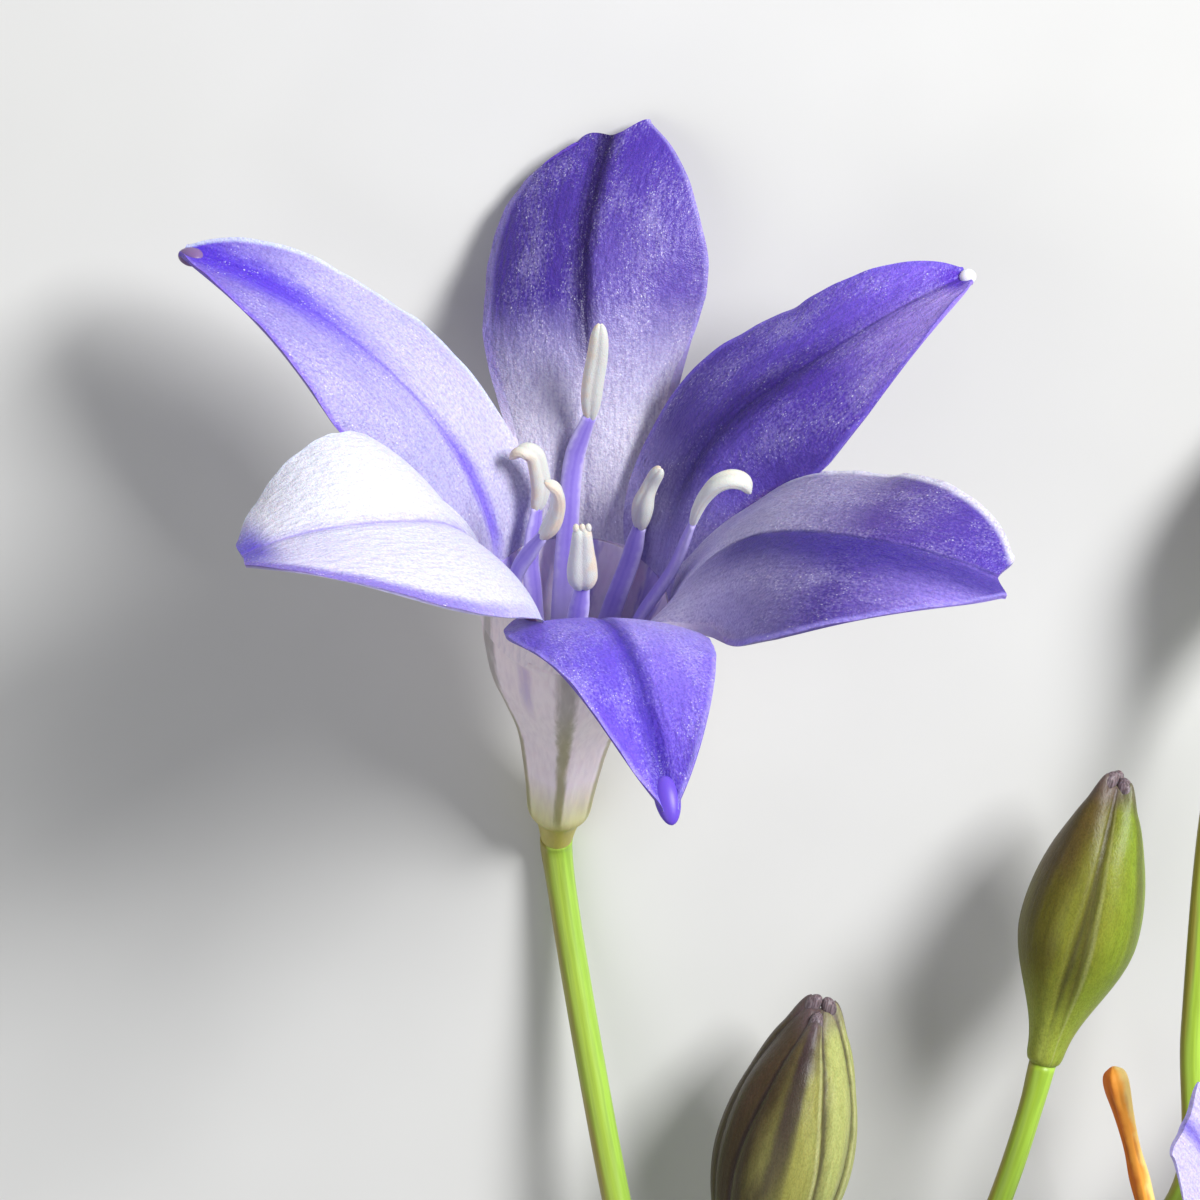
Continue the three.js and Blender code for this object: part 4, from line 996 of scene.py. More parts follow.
def stamen_pieces(tag, name, stamen, turn, rows, sides, strap_look, sac_look):
    """The strap and the anther of one stamen, in its flower's frame."""
    def add_piece(part, points, faces, marks, look):
        return make_piece(f"{tag}_{part}_{name}", part, look, laid_down(points, PLACES[tag]),
                          faces, **marks)

    def closed(rings, t, q):
        return *round_body(rings), ring_marks(rings, onward=t, across=np.cos(q), upward=np.sin(q))

    def beside(stops):
        """The direction round the axis at the first of the stops."""
        first = np.radians(stops[0][0] + turn)
        return np.array([-np.sin(first), np.cos(first), 0])

    sacs = path_through(round_the_axis(stamen["sacs"], turn), rows)
    stops = round_the_axis(stamen["strap"], turn)
    inner = sacs[rows // 12: -(rows // 12)]
    joint = inner[np.argmin(np.linalg.norm(inner - stops[-1], axis=1))]
    stops = stops[np.linalg.norm(stops - joint, axis=1) > JOINT]
    strap = path_through(np.vstack([stops, joint]), rows)

    def strap_half(t):
        return STRAP_HALF_WIDTH * (1 - STRAP_TAPER * t - STRAP_NECK * smooth((t - 0.85) / 0.15))

    body = closed(*carried(strap, strap_half, lambda t: 0.5 * strap_half(t),
                           beside(stamen["strap"]), sides))
    strap_piece = add_piece("filament", *body, strap_look)

    def belly(t):
        return stamen["half"] * along(stamen["belly"], t) * sac_size(t)

    points, faces, marks = closed(*carried(sacs, belly, lambda t: SAC_FLATNESS * belly(t),
                                           beside(stamen["sacs"]), 2 * sides, pinched, sacs_ahead))
    if name == "front" and tag == "flower_1":
        onward = unit(sacs[-1] - sacs[-4])
        wide = unit(beside(stamen["sacs"]) - onward * (onward @ beside(stamen["sacs"])))
        axes = np.array([onward, wide, np.cross(onward, wide)])
        for place in TEETH:
            middle = sacs[-1] + place * wide - TOOTH_SUNK * onward
            tooth = round_body(ball(middle, TOOTH, axes, rows=8, columns=12))
            points, faces, marks = with_body(points, faces, marks, tooth, dict.fromkeys(marks, 0.5))
    return strap_piece, add_piece("anther", points, faces, marks, sac_look)


# %% Finishes of the stamens
def strap_finish():
    """Violet with paler edges and a darker line down the middle."""
    f = Finish("filament", Roughness=0.4, Specular_IOR_Level=0.5, Sheen_Weight=0.1)
    across, onward = f.mark("across"), f.mark("onward")
    noise = f.noise(f.place(), [2500] * 3, 3.0)
    flat = f.ragged(f.size(across), noise, 0.5)
    colour = f.blend(f.band(flat, 0.45, 1.05), ink(148, 130, 214), ink(196, 186, 234))
    colour = f.lay(colour, ink(118, 96, 200), f.band(flat, 0.3, 0.0), 0.5)
    colour = f.blend(f.band(onward, 0.5, 0.0), colour, ink(192, 182, 226))
    return f.cover(colour, noise, depth=0.03, strength=0.4)


def sac_finish():
    """Cream white with a breath of apricot on one side, shaded in the furrow, and finely grained."""
    f = Finish("anther", Roughness=0.62, Specular_IOR_Level=0.35, Sheen_Weight=0.2, Sheen_Roughness=0.6,
               Subsurface_Weight=0.15, Subsurface_Scale=0.4 * MM)
    across, upward = f.mark("across"), f.mark("upward")
    place = f.place()
    noise = f.noise(place, [1500] * 3, 3.0)
    grains = f.step("TexVoronoi", {"Vector": place, "Scale": 16000.0})
    tint = f.ragged(across, noise, 2.6)
    colour = f.lay(ink(212, 216, 206), ink(224, 202, 170), f.band(tint, 0.1, 1.3), 0.8)
    furrow = f.band(f.size(across), 0.26, 0.05)
    colour = f.lay(colour, ink(206, 196, 190), furrow, 0.35)
    slit = f.band(f.size(upward), 0.16, 0.03)
    colour = f.lay(colour, ink(216, 200, 170), slit, 0.3)
    colour = f.lay(colour, ink(206, 198, 190), f.band(grains, 0.35, 0.6), 0.22)
    return f.cover(colour, f.sum("SUBTRACT", noise, f.times(grains, 0.6)), depth=0.05, strength=0.5)


strap_look, sac_look = strap_finish(), sac_finish()
stamens = []
for name, petal in PETALS_1.items():
    stamens += stamen_pieces("flower_1", name, STAMENS_1[name], 0, 44, 24, strap_look, sac_look)
    stamens += stamen_pieces("flower_2", name, STAMEN_2, petal["around"], 28, 16, strap_look, sac_look)
print("stamen pieces:", len(stamens))

# %% [markdown]
# In the middle of the tube stands the pistil: a small stalk, a ribbed green ovary, a thin style and
# a stigma with three lobes. It is hidden from most sides and seen only straight down the throat.

# %% The pistils
PISTIL = [[1.05, 0.42], [2.2, 0.45], [3.0, 0.75], [4.6, 0.95], [6.2, 0.85], [7.2, 0.4], [10, 0.3],
          [12.6, 0.3], [13.2, 0.5], [13.7, 0.3]]
# Where the three lobes of ovary and stigma stand: height, half length and share of the radius
OVARY = (4.6, 2.0, 0.12)
STIGMA = (13.3, 0.5, 0.3)


def lobed(h, q):
    """Three lobes on the ovary and on the stigma; the style between them is round."""
    deep = sum(share * ridge(h - height, long) for height, long, share in (OVARY, STIGMA))
    return 1 + deep * np.cos(3 * q)


def pistil_finish():
    f = Finish("pistil", Roughness=0.45, Specular_IOR_Level=0.4)
    noise = f.noise(f.place(), [2200] * 3, 3.0)
    share = f.sum("DIVIDE", f.ragged(f.mark("height"), noise, 1.0), 14.0)
    colour = f.ramp(share, [(0.0, ink(176, 186, 120)), (0.4, ink(150, 150, 190)),
                            (0.6, ink(176, 164, 222)), (0.93, ink(226, 220, 240))])
    return f.cover(colour, noise, depth=0.05)


pistil_look = pistil_finish()
for tag in PLACES:
    profile = smooth_profile(PISTIL, 60)
    rings, q = turned(profile[:, 0], profile[:, 1], 30, lobed)
    marks = ring_marks(rings, height=profile[:, :1])
    points, faces = round_body(rings - [0, 0, TUBE_LENGTH])
    make_piece(f"{tag}_pistil", "pistil", pistil_look, laid_down(points, PLACES[tag]), faces, **marks)
print("pistils:", len(PLACES))

# %% [markdown]
# A bud is six petals pressed together. The three outer ones show most: each is a long boat with a
# dark keel and a hooded tip, and grooves with a dark seam line, further darkened by painted shade,
# part it from its neighbours. The bud is turned from a profile, with the grooves and the keels
# worked into its section, and the three hoods set on top.

# %% Buds
# radius, fullest, swell and close shape the profile. turn: degrees by which the first keel lies
# away from the viewer. reach: half width of an outer petal in degrees at five even steps. lower:
# how far each outer petal's tip falls short.
BUDS = {
    "front": dict(base=[7.2, -38.2, -14], tip=[11.5, -20.6, -10.5],
                  radius=3.6, fullest=0.55, swell=1.6, close=0.78,
                  turn=-5, reach=[34, 40, 42, 34, 26], lower=[0.75, 0, 0]),
    "right": dict(base=[22.8, -23.9, -9.8], tip=[26.5, -8.9, -6.5],
                  radius=3, fullest=0.5, swell=2.2, close=0.84,
                  turn=62, reach=[46, 50, 55, 58, 56], lower=[0.2, 0, 0]),
    "far": dict(base=[32.6, -3.5, -5.5], tip=[35.9, 10.5, -4],
                radius=2.7, fullest=0.52, swell=1.9, close=0.84,
                turn=12, reach=[34, 42, 44, 38, 30], lower=[0.4, 0, 0]),
}
BUD_NECK, BUD_END = 0.95, 0.6
BUD_FOOT = 0.7           # height of the rounded foot
BUD_GROOVE = 0.075       # broad rounding between neighbours, as a share of the radius
BUD_SEAM = 0.06          # and the narrow seam at the bottom of it
BUD_SEAM_WIDTH = 3.2     # its half width in degrees
BUD_ROUNDING = 15        # half width of the broad rounding in degrees
BUD_STEP = 8             # degrees over which the surface drops from an outer petal to an inner one
BUD_DROP = 0.6           # and how far, as a share of the groove
BUD_PARTS = 0.25         # share of the length over which the petals part above the even foot
BUD_POINTS_FROM = 0.75   # share of the length from which the keels stand out
BUD_POINTS = 0.22        # how far the keels stand out at the top, as a share of the radius
BUD_TIPS = 0.6           # how far the outer petals pass the inner ones
HOOD = (0.66, 0.4, 0.46)


def bud_profile(s, v):
    """Radius by share of the length: a late swell as a power of a sine, and a close as a cosine."""
    rise = np.sin(np.minimum(v / s["fullest"], 1) * np.pi / 2) ** s["swell"]
    fall = np.cos(np.clip((v - s["fullest"]) / (1 - s["fullest"]), 0, 1) * np.pi / 2) ** s["close"]
    below = BUD_NECK + (s["radius"] - BUD_NECK) * rise
    above = BUD_END + (s["radius"] - BUD_END) * fall
    return np.where(v < s["fullest"], below, above)


def bud_piece(name, s, finish, slot_name, rows=110, sides=120):
    """The pressed petals as one round body, with the hoods of the three outer ones on top."""
    place = standing(s["base"], np.subtract(s["tip"], s["base"]), TOWARDS_VIEWER)
    length = np.linalg.norm(np.subtract(s["tip"], s["base"])) - BUD_TIPS
    t = np.linspace(0, 1, rows)
    v = 0.6 * t + 0.4 * (1 - (1 - t) ** 2)

    def from_seam(w, q):
        """Degrees from the margin of the nearest outer petal: above 0 on an inner petal."""
        middle = np.mod(np.degrees(q) + 60, 120) - 60
        return np.abs(middle) - along(s["reach"], w)

    def section(h, q):
        w = h / length
        seam = from_seam(w, q)
        inner_petal = BUD_DROP * BUD_GROOVE * smooth(seam / BUD_STEP)
        rounding = BUD_GROOVE * ridge(seam, BUD_ROUNDING)
        cut = BUD_SEAM * ridge(seam, BUD_SEAM_WIDTH)
        tips = BUD_POINTS * smooth((w - BUD_POINTS_FROM) / (1 - BUD_POINTS_FROM)) * np.cos(3 * q)
        parted = smooth(w / BUD_PARTS) * (0.5 * BUD_GROOVE - inner_petal - rounding - cut)
        foot = 0.68 + 0.32 * np.sqrt(1 - (1 - np.clip(h / BUD_FOOT, 0, 1)) ** 2)
        return foot * (1 + parted + tips)

    rings, q = turned(v * length, bud_profile(s, v), sides, section)
    rings[..., 2] += BUD_TIPS * np.maximum(0, np.cos(3 * q)) * smooth((v[:, None] - 0.93) / 0.07)
    for k, lower in enumerate(s["lower"]):
        facing = np.maximum(0, np.cos(q - 2 * np.pi * k / 3)) ** 3
        rings[..., 2] -= lower * facing * smooth((v[:, None] - 0.8) / 0.2)
    marks = ring_marks(rings, onward=v[:, None], seam=from_seam(v[:, None], q), run=v[:, None] * length,
                       east=rings[..., 0], north=rings[..., 1], hood=np.zeros_like(q),
                       middle=np.cos(3 * q), lit=np.sin(q + np.radians(s["turn"])))
    points, faces = round_body(rings)
    for k, lower in enumerate(s["lower"]):
        angle = 2 * np.pi * k / 3
        out = np.array([np.cos(angle), np.sin(angle), 0])
        forth = unit(np.array([0, 0, 1.0]) - 0.35 * out)
        axes = np.array([forth, np.cross(forth, out), out])
        hood = round_body(ball((0.52 + 0.25 * lower) * out + [0, 0, length + 0.12 - lower], HOOD, axes))
        fill = dict(onward=1.0, seam=-30, run=length, hood=1.0, middle=0.6, lit=0.0,
                    east=hood[0][:, 0], north=hood[0][:, 1])
        points, faces, marks = with_body(points, faces, marks, hood, fill)
    turn = np.radians(s["turn"])
    spin = np.array([[np.cos(turn), -np.sin(turn), 0], [np.sin(turn), np.cos(turn), 0], [0, 0, 1]])
    return make_piece(f"bud_{name}", slot_name, finish, laid_down(points @ spin.T, place),
                      faces, **marks)


# %% Finish of the buds
def bud_finish(name, shade, middle, bright, low, brown, line, lined, browned, cleft):
    """Olive to bright green from the shaded to the lit side, painted light and painted shade, paler at
    the foot and browned in patches towards the top, further down on the shaded side, with a dark stripe
    along each outer petal's keel and in the seams between petals. Near the seams the colour darkens as
    painted shade, and on the lit side the outer petals' margins pale as painted rim light. line is the
    stripes' colour and lined their strength. cleft says how much of an inner petal sinks into the
    painted shade between two outer ones."""
    f = Finish(name, Roughness=0.42, Specular_IOR_Level=0.3, Subsurface_Weight=0.1,
               Subsurface_Scale=0.6 * MM)
    onward, seam, run, lit = [f.mark(m) for m in ("onward", "seam", "run", "lit")]
    at = f.flat(f.mark("east"), f.mark("north"), run)
    blotch = f.noise(at, (0.5, 0.5, 0.16), 4.0)
    grain = f.noise(at, (4, 4, 0.4), 4.0)
    fine = f.noise(at, (12, 12, 7), 3.0)
    # Painted light and shade: from shade through middle to bright by the lit mark, a side of the bud
    # turned to the lamp.
    side = f.ragged(lit, blotch, 1.2)
    colour = f.blend(f.band(side, -0.6, 0.15), shade, middle)
    colour = f.blend(f.band(side, 0.05, 0.85), colour, bright)
    # Browned patches towards the top, the bud's own colour, reaching further down the shaded side as
    # painted shade.
    high = f.ragged(f.sum("SUBTRACT", onward, f.times(lit, 0.3)), blotch, 0.9)
    colour = f.lay(colour, brown, f.band(high, browned, browned + 0.4), 0.75)
    keel = f.times(f.band(f.ragged(f.mark("middle"), grain, 0.14), 0.8, 0.99),
                   f.band(onward, 0.25, 0.7))
    colour = f.lay(colour, line, keel, lined)
    foot = f.band(f.ragged(onward, grain, 0.2), 0.42, 0.12)
    colour = f.lay(colour, low, foot, 0.6)
    # Painted shade: the colour darkens near the seams between petals.
    gap = f.ragged(f.size(seam), grain, 5.0)
    colour = f.lay(colour, ink(80, 66, 40), f.band(gap, 14.0, 2.0),
                   f.times(f.band(onward, 0.1, 0.4), 0.4))
    # Painted rim light: pale margins along the seams, only on the lit side.
    margin = f.band(f.size(f.sum("ADD", seam, 6.5)), 3.5, 0.5)
    pale = 0.6 * (1 - cleft)
    colour = f.lay(colour, ink(206, 208, 150), f.times(margin, f.band(lit, -0.4, 0.6)), pale)
    # Painted shade on the strip of inner petal between two outer ones.
    dark = f.times(f.band(f.ragged(seam, grain, 4.0), -4.0, 2.0), f.band(onward, 0.12, 0.4))
    colour = f.lay(colour, ink(60, 52, 22), dark, cleft)
    colour = f.lay(colour, line, f.band(gap, 5.0, 0.5), f.times(f.band(onward, 0.06, 0.3), 0.7 * lined))
    colour = f.lay(colour, ink(116, 98, 106), f.band(onward, 0.92, 1.0), 0.6)
    tip = f.blend(f.band(fine, 0.35, 0.65), ink(98, 82, 90), ink(138, 122, 130))
    colour = f.blend(f.mark("hood"), colour, tip)
    colour = f.darken(colour, 0.6, grain, (0.3, ink(212, 212, 200)), (0.6, ink(252, 252, 250)))
    colour = f.darken(colour, 0.6, fine, (0.3, ink(200, 200, 186)), (0.6, WHITE))
    return f.cover(colour, f.sum("ADD", grain, f.times(fine, 0.6)), depth=0.06, strength=0.45)


BUD_GREEN = bud_finish("green bud", ink(106, 100, 26), ink(140, 146, 46), ink(136, 158, 48),
                       low=ink(172, 186, 78), brown=ink(92, 72, 40), line=ink(72, 60, 34), lined=0.5,
                       browned=0.7, cleft=0.5)
BUD_BROWN = bud_finish("brown bud", ink(68, 54, 32), ink(154, 152, 78), ink(184, 190, 116),
                       low=ink(222, 226, 156), brown=ink(80, 62, 48), line=ink(54, 36, 46), lined=0.85,
                       browned=0.66, cleft=0.0)
buds = [bud_piece("front", BUDS["front"], BUD_BROWN, "bud_brown"),
        bud_piece("right", BUDS["right"], BUD_GREEN, "bud_green"),
        bud_piece("far", BUDS["far"], BUD_GREEN, "bud_green")]
print("buds:", [p.name for p in buds])

# %% [markdown]
# One bud has withered. It is a shrunken, furrowed orange husk on a thin stalk, drawn darker on its
# shaded side and in its furrows as painted shade, and pale yellow on its lit side as a painted
# highlight. It is turned from its profile too, with uneven furrows cut into the section.

# %% The withered bud
WITHERED = dict(base=[28.9, -33.3, -13.6], tip=[26.6, -24.3, -11.6])
WITHERED_OUTSIDE = [[0, 0.36], [0.5, 0.44], [2.4, 0.5], [6.4, 0.46], [8.4, 0.66], [9.3, 0.5],
                    [9.6, 0.16]]


def shrunken(h, q):
    """Uneven furrows that twist a little up the husk."""
    deep = 0.08 * np.cos(5 * q + 0.25 * h) + 0.04 * np.cos(9 * q - 0.4 * h + 1)
    return 1 + deep * smooth(h / 0.8) + 0.05 * np.sin(2.2 * h)


def withered_finish():
    f = Finish("withered bud", Roughness=0.6, Specular_IOR_Level=0.35)
    noise = f.noise(f.place(), [900] * 3, 4.0)
    # Painted light and shade: darker orange on the shaded side and brighter on the lit side, with a
    # pale yellow painted highlight.
    side = f.ragged(f.mark("lit"), noise, 1.4)
    colour = f.blend(f.band(side, -0.8, 0.0), ink(218, 114, 34), ink(255, 170, 64))
    colour = f.lay(colour, ink(255, 226, 140), f.band(side, 0.2, 0.85), 0.85)
    # Painted shade in the furrows.
    colour = f.lay(colour, ink(136, 58, 16), f.band(f.mark("furrow"), -0.02, -0.16), 0.4)
    return f.cover(colour, noise, depth=0.1, strength=0.5)


profile = smooth_profile(WITHERED_OUTSIDE, 70)
rings, q = turned(profile[:, 0], profile[:, 1], 48, shrunken)
marks = ring_marks(rings, lit=np.sin(q), furrow=shrunken(profile[:, :1], q) - 1)
points, faces = round_body(rings)
husk = standing(WITHERED["base"], np.subtract(WITHERED["tip"], WITHERED["base"]), TOWARDS_VIEWER)
make_piece("withered_bud", "withered_bud", withered_finish(), laid_down(points, husk), faces, **marks)
print("withered bud:", len(faces), "faces")

# %% [markdown]
# The main stalk, the scape, is swollen where all the flower stalks stand on it, and cut off at its
# foot. Around the swollen top stand small papery bracts that once wrapped the umbel. The scape is
# turned from a profile and slightly bowed; the bracts are thin blades with ragged tips.

# %% Scape and bracts
UMBEL = np.array([7.0, -65.0, -21.0])
SCAPE_END = np.array([2.0, -119.0, -42.65])
SCAPE_LENGTH = np.linalg.norm(UMBEL - SCAPE_END)
SCAPE_RADIUS, SCAPE_BOW = 2.1, 1.2
KNOB_RADIUS = 3.0
KNOB_OUTSIDE = [[2.5, 1.5], [1.8, 2.5], [0.7, 3.0], [-0.7, 3.0], [-2.4, 2.4], [-4.6, SCAPE_RADIUS]]
SCAPE_PLACE = standing(UMBEL, UMBEL - SCAPE_END, np.array([1.0, 0, 0]))
# The top over the knob, and the cut: height above it and share of the radius
SCAPE_TOP = [[2.52, 0.3], [2.52, 1.2]]
CUT = [[0, 0.97], [0, 0.72], [0.05, 0.68], [0.05, 0.3]]
SCAPE_RIBS, RIB_DEPTH = 18, 0.012
BRACTS = [dict(around=190, length=9.5), dict(around=325, length=8.5), dict(around=75, length=6.5)]
BRACT_HALF_WIDTH, BRACT_TIP, BRACT_FOOT = 1.9, 0.25, -3.0
BRACT_SPREAD = (0.05, 0.22)
BRACT_THICK = 0.22
VEIN_TURNS = 25.1        # radians of the veins' wave from the middle of a bract to its margin


def scape_piece(finish):
    """Profile from the top of the knob down to the cut, bowed as half a sine wave."""
    knob = smooth_profile(KNOB_OUTSIDE, 40)
    down = np.linspace(KNOB_OUTSIDE[-1][0], -SCAPE_LENGTH, 90)[1:]
    cut = np.array(CUT) * [1, SCAPE_RADIUS] - [SCAPE_LENGTH, 0]
    stem = np.column_stack([down, np.full(len(down), SCAPE_RADIUS)])
    profile = np.concatenate([SCAPE_TOP, knob, stem, cut])

    def ribs(h, q):
        return 1 - RIB_DEPTH * (1 - np.cos(SCAPE_RIBS * q)) * smooth((-h - 1) / 4)

    rings, q = turned(profile[:, 0], profile[:, 1], 72, ribs)
    share = np.clip(-rings[..., 2] / SCAPE_LENGTH, 0, 1)
    rings[..., 0] += SCAPE_BOW * np.sin(np.pi * share)
    at_cut = np.repeat([0.0, 1.0], [len(profile) - len(CUT), len(CUT)])[:, None]
    marks = ring_marks(rings, height=profile[:, :1], lit=np.cos(q), east=rings[..., 0],
                       north=rings[..., 1], cut=at_cut, core=profile[:, 1:] / SCAPE_RADIUS)
    points, faces = round_body(rings)
    piece = make_piece("scape", "scape", finish, laid_down(points, SCAPE_PLACE), faces, **marks)
    piece.data.set_sharp_from_angle(angle=RIM_EDGE)
    return piece


def bract_piece(number, s, finish, rows=44, columns=25):
    """A pointed blade wrapped round the knob, narrower as a cosine up its length, that leans
    further out as a square. Its margins are a little torn and its ribs stand up."""
    v = np.linspace(0, 1, rows)[:, None]
    u = np.linspace(-1, 1, columns)[None, :]
    rng = np.random.default_rng(20 + number)
    start = rng.uniform(0, 6, 4)
    torn = 1 - 0.06 * np.abs(np.sin(23 * v + start[0]) * np.sin(9 * v + start[1]))
    half = (BRACT_TIP + BRACT_HALF_WIDTH * np.cos(v * np.pi / 2) ** 0.8) * torn
    r = KNOB_RADIUS + MOUTH_GAP + s["length"] * (BRACT_SPREAD[0] * v + BRACT_SPREAD[1] * v * v)
    q = np.radians(s["around"]) + half * u / r
    wrinkle = 0.02 * np.cos(8 * np.pi * u) + 0.12 * np.sin(5 * v + start[2] + 2 * u) * v
    inner = r + 0.18 + wrinkle
    z = BRACT_FOOT + s["length"] * v + 0 * u
    front = np.stack([inner * np.cos(q), inner * np.sin(q), z], axis=-1)
    outer = inner + BRACT_THICK
    behind = np.stack([outer * np.cos(q), outer * np.sin(q), z], axis=-1)
    points, faces = blade(front, behind)
    marks = blade_marks(z.shape, onward=v, side=u, run=s["length"] * v, across=half * u)
    return make_piece(f"bract_{number}", "bract", finish, laid_down(points, SCAPE_PLACE),
                      faces, **marks)


# %% Finishes of the scape, the bracts and the stalks
def green_finish(name, dark, bright, edge, cut=None):
    """A stalk's skin: bright green on its lit side, tan or olive on the other, partly its own colour
    and partly painted light and painted shade, with fine lines along it. A cut end shows a pale core
    inside a darker ring."""
    f = Finish(name, Roughness=0.4, Specular_IOR_Level=0.5, Sheen_Weight=0.08)
    at = f.flat(f.mark("east"), f.mark("north"), f.mark("height"))
    grain = f.noise(at, (5, 5, 0.25), 4.0)
    blotch = f.noise(at, (0.6, 0.6, 0.12), 3.0)
    # Painted light and shade, partly the skin's own colour: dark to bright by the lit mark, with the
    # edge colour on the far shaded side.
    side = f.ragged(f.mark("lit"), blotch, 1.6)
    colour = f.blend(f.band(side, -0.25, 0.55), dark, bright)
    colour = f.lay(colour, edge, f.band(side, -0.45, -0.95), 0.85)
    colour = f.darken(colour, 0.6, grain, (0.3, ink(200, 200, 190)), (0.6, ink(248, 248, 244)))
    if cut is not None:
        core = f.blend(f.band(f.mark("core"), 0.62, 0.8), ink(222, 226, 190), cut)
        colour = f.blend(f.mark("cut"), colour, core)
    return f.cover(colour, grain, depth=0.06, strength=0.45)


def bract_finish():
    """Papery, with brown veins along it and a browner torn margin."""
    f = Finish("papery bract", Roughness=0.65, Specular_IOR_Level=0.3, Subsurface_Weight=0.1,
               Subsurface_Scale=0.4 * MM)
    onward, side = f.mark("onward"), f.mark("side")
    at = f.flat(f.mark("across"), f.mark("run"))
    grain = f.noise(at, (5, 0.3, 1), 4.0)
    lines = f.ragged(f.sum("COSINE", f.times(side, VEIN_TURNS)), grain, 1.5)
    colour = f.lay(ink(202, 196, 172), ink(150, 128, 96), f.band(lines, 0.3, 1.0), 0.5)
    colour = f.lay(colour, ink(176, 142, 100), f.band(onward, 0.55, 1.0), 0.6)
    colour = f.lay(colour, ink(156, 160, 104), f.band(onward, 0.4, 0.0), 0.6)
    return f.cover(colour, grain, depth=0.08, strength=0.5)


scape_look = green_finish("scape", ink(118, 132, 62), ink(140, 168, 74), ink(130, 122, 74),
                          cut=ink(110, 130, 66))
scape = scape_piece(scape_look)
bract_look = bract_finish()
bracts = [bract_piece(number, s, bract_look) for number, s in enumerate(BRACTS, 1)]
print("scape:", len(scape.data.polygons), "faces; bracts:", len(bracts))

# %% [markdown]
# Each flower and bud hangs on a thin stalk of its own that rises from the swollen top of the scape.
# A stalk is a round section carried along a smooth path: it leaves the top straight, passes through
# a few points, and meets what it carries in line with its axis.

# %% The stalks
STALK_RISE = 1.5
STALKS = {
    "flower_1": dict(
        spot=[-0.35, 0.85, 0.35], radius=0.75, end=0.2,
        via=[[3.5, -45, -16.2], [0.2, -28, -14.8], [-1.7, -17, -14]]),
    "flower_2": dict(
        spot=[0.62, 0.75, -0.5], radius=0.75, end=2, via=[[11, -58, -23.6], [12.6, -53, -24.4]]),
    "bud_front": dict(spot=[-0.05, 0.6, 0.9], radius=0.62, end=2, via=[[6.6, -52, -14]]),
    "bud_right": dict(
        spot=[0.4, 0.95, 0.1], radius=0.62, end=2, via=[[14.2, -47, -15], [20.75, -31, -11.6]]),
    "bud_far": dict(
        spot=[0.5, 0.6, 0.95], radius=0.62, end=2,
        via=[[14.4, -54, -12], [18, -45, -9.6], [24, -37, -8.4], [29.85, -30.2, -7.8],
             [30.3, -22, -7.2], [31.1, -11.5, -6.2]]),
    "withered_bud": dict(
        spot=[0.9, 0.6, 0.1], radius=0.42, end=0.6,
        via=[[14.5, -57.5, -19.5], [19.5, -52, -20.6], [24.6, -46, -20.8], [27.6, -41.4, -18.4],
             [29.1, -37.2, -15.6]]),
}
GAP = 0.3
# Swellings at a stalk's foot and below what it carries: share of the radius, length in millimetres
FOOT_SWELLING = (0.12, 1.2)
TOP_SWELLING = (0.14, 1.7)
SUNK, MET = 0.5, 0.05    # how far a stalk goes into the knob, and past the foot of what it carries


def foot_of(name):
    """The place and direction of the foot of what a stalk carries."""
    if name in PLACES:
        mouth, axes = PLACES[name]
        return mouth + axes[:, 2] * (TUBE_OUTSIDE[0][0] - TUBE_LENGTH), axes[:, 2]
    s = WITHERED if name == "withered_bud" else BUDS[name.removeprefix("bud_")]
    return np.array(s["base"]), unit(np.subtract(s["tip"], s["base"]))


def stalk_piece(name, s, finish, slot_name, rows=110, sides=28):
    """The round section along its path, let into the knob below and into the foot above."""
    foot, direction = foot_of(name)
    out = unit(s["spot"])
    start = UMBEL + out * (KNOB_RADIUS + GAP)
    end = foot - direction * GAP
    stops = [start, start + out * STALK_RISE, *s["via"], end - direction * s["end"], end]
    path = path_through(stops, rows)
    path = np.vstack([start - out * (GAP + SUNK), path, foot + direction * MET])
    run = np.concatenate([[0], np.cumsum(np.linalg.norm(np.diff(path, axis=0), axis=1))])[:, None]
    swelling = (FOOT_SWELLING[0] * ridge(run, FOOT_SWELLING[1])
                + TOP_SWELLING[0] * ridge(run - run[-1], TOP_SWELLING[1]))

    def swollen(t):
        return s["radius"] * (1 + swelling)

    rings, t, q = carried(path, swollen, swollen, TOWARDS_VIEWER, sides)
    marks = ring_marks(rings, height=run, lit=np.sin(q), east=s["radius"] * np.cos(q),
                       north=s["radius"] * np.sin(q))
    points, faces = round_body(rings)
    return make_piece(f"stalk_{name}", slot_name, finish, laid_down(points), faces, **marks)


GREEN = green_finish("green stalk", ink(154, 186, 48), ink(170, 210, 72), ink(160, 140, 56))
TAN = green_finish("tan stalk", ink(162, 190, 62), ink(166, 208, 76), ink(170, 146, 74))
RUSTY = green_finish("withered stalk", ink(126, 120, 52), ink(140, 138, 62), ink(124, 82, 40))
stalk_looks = {"flower_1": TAN, "withered_bud": RUSTY}
stalks = [stalk_piece(name, s, stalk_looks.get(name, GREEN),
                      "stalk_withered" if name == "withered_bud" else "stalk")
          for name, s in STALKS.items()]
print("stalks:", len(stalks))

# %% [markdown]
# The umbel lies on a plain pale floor. The camera looks down on it as the viewer does, from so far
# that the petals lie in the view as they should. One large soft lamp stands to the right, where the
# petals' bright sides face, and a weak one opposite fills the shade.

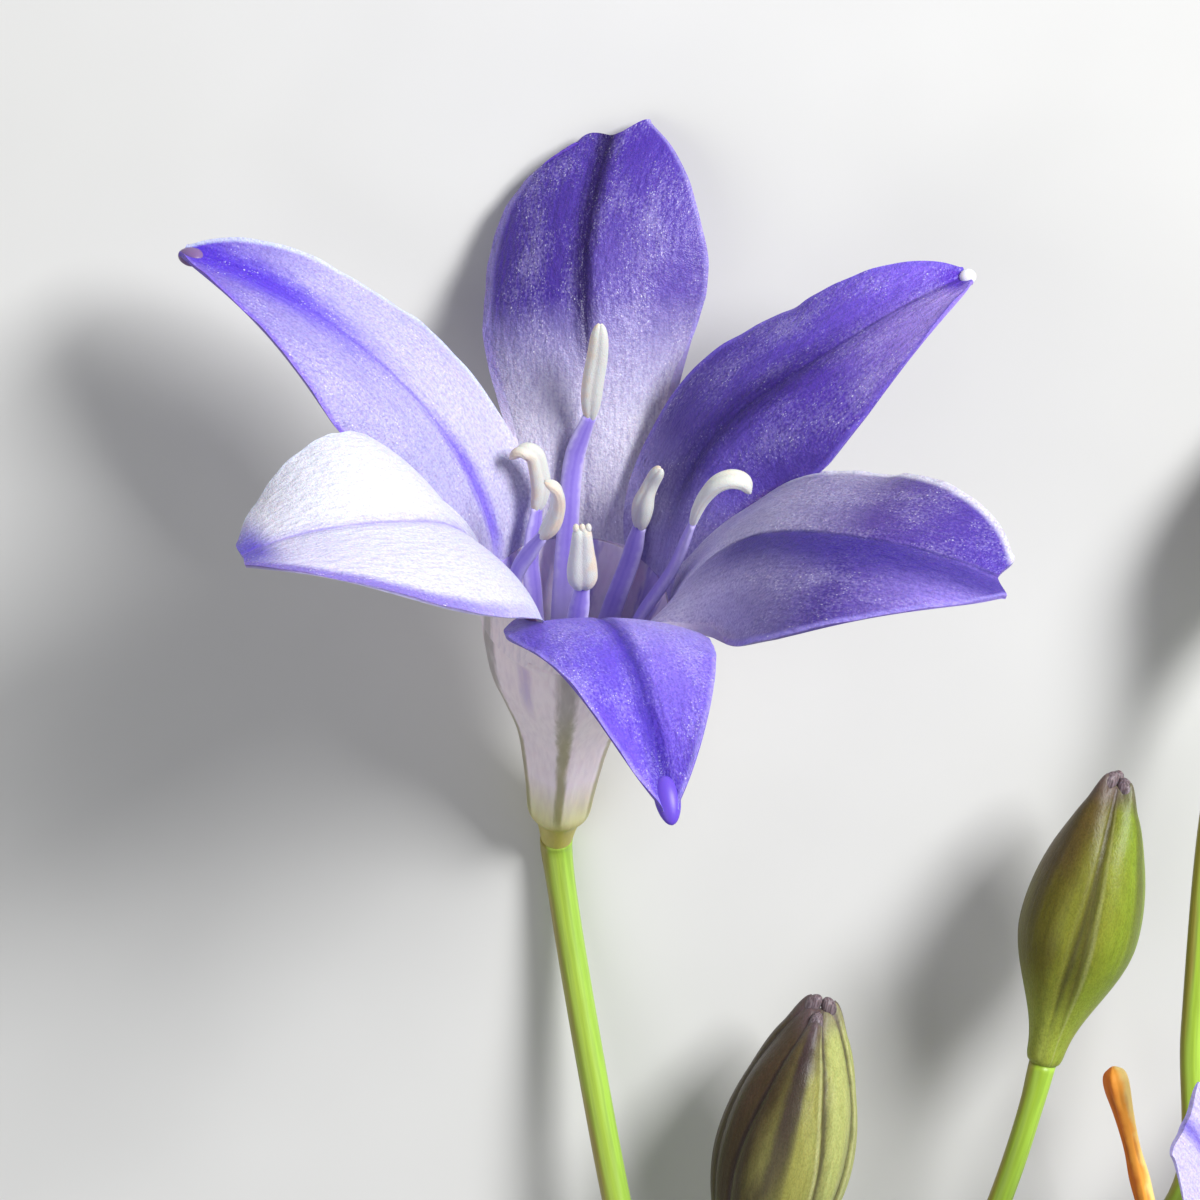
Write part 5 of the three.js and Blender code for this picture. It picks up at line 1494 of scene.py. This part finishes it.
# %% Floor, lamps and camera
VIEW_DISTANCE = 320      # millimetres from the camera to the flower's mouth
VIEW_WIDTH = 60          # millimetres that the view shows across at that distance
FILM = 36
FLOOR_HALF = 1.5         # metres
ROOM_LIGHT = 0.27        # strength of the even light from all around


def add_lamp(name, towards, distance, size, watts):
    """A square soft lamp in a given direction from the flower, turned to face it."""
    data = bpy.data.lights.new(name, "AREA")
    data.size, data.energy = size * MM, watts
    lamp = bpy.data.objects.new(name, data)
    bpy.context.collection.objects.link(lamp)
    spot = laid_down(unit(towards) * distance)
    aim = laid_down(np.zeros(3)) - spot
    lamp.location = spot
    pitch = np.arctan2(np.hypot(aim[0], aim[1]), -aim[2])
    lamp.rotation_euler = (pitch, 0, np.arctan2(aim[1], aim[0]) - np.pi / 2)
    return lamp


add_lamp("key lamp", [0.72, 0.36, 0.85], distance=420, size=150, watts=2.45)
add_lamp("fill lamp", [-0.6, -0.5, 0.9], distance=500, size=400, watts=0.62)
world = bpy.data.worlds.new("soft room")
world.use_nodes = True
world.node_tree.nodes["Background"].inputs["Color"].default_value = ink(232, 234, 238)
world.node_tree.nodes["Background"].inputs["Strength"].default_value = ROOM_LIGHT
bpy.context.scene.world = world
bpy.context.scene.view_settings.view_transform = "Standard"

w = FLOOR_HALF
floor_mesh = bpy.data.meshes.new("floor")
floor_mesh.from_pydata([(-w, -w, 0), (w, -w, 0), (w, w, 0), (-w, w, 0)], [], [(0, 1, 2, 3)])
floor_look = Finish("pale floor", Roughness=0.85, Specular_IOR_Level=0.2)
speckle = floor_look.noise(floor_look.place(), [60] * 3, 2.0)
floor_mesh.materials.append(floor_look.cover(
    floor_look.ramp(speckle, [(0.3, ink(214, 214, 212)), (0.7, ink(219, 219, 217))])))
floor = bpy.data.objects.new("floor", floor_mesh)
bpy.context.collection.objects.link(floor)

camera_data = bpy.data.cameras.new("camera")
camera_data.sensor_width = FILM
camera_data.lens = FILM * VIEW_DISTANCE / VIEW_WIDTH
camera_data.clip_start = 0.01
camera = bpy.data.objects.new("camera", camera_data)
camera.location = laid_down(np.array([0.0, 0.0, VIEW_DISTANCE]))
camera.rotation_euler = (LIE, 0, 0)
bpy.context.collection.objects.link(camera)
bpy.context.scene.camera = camera
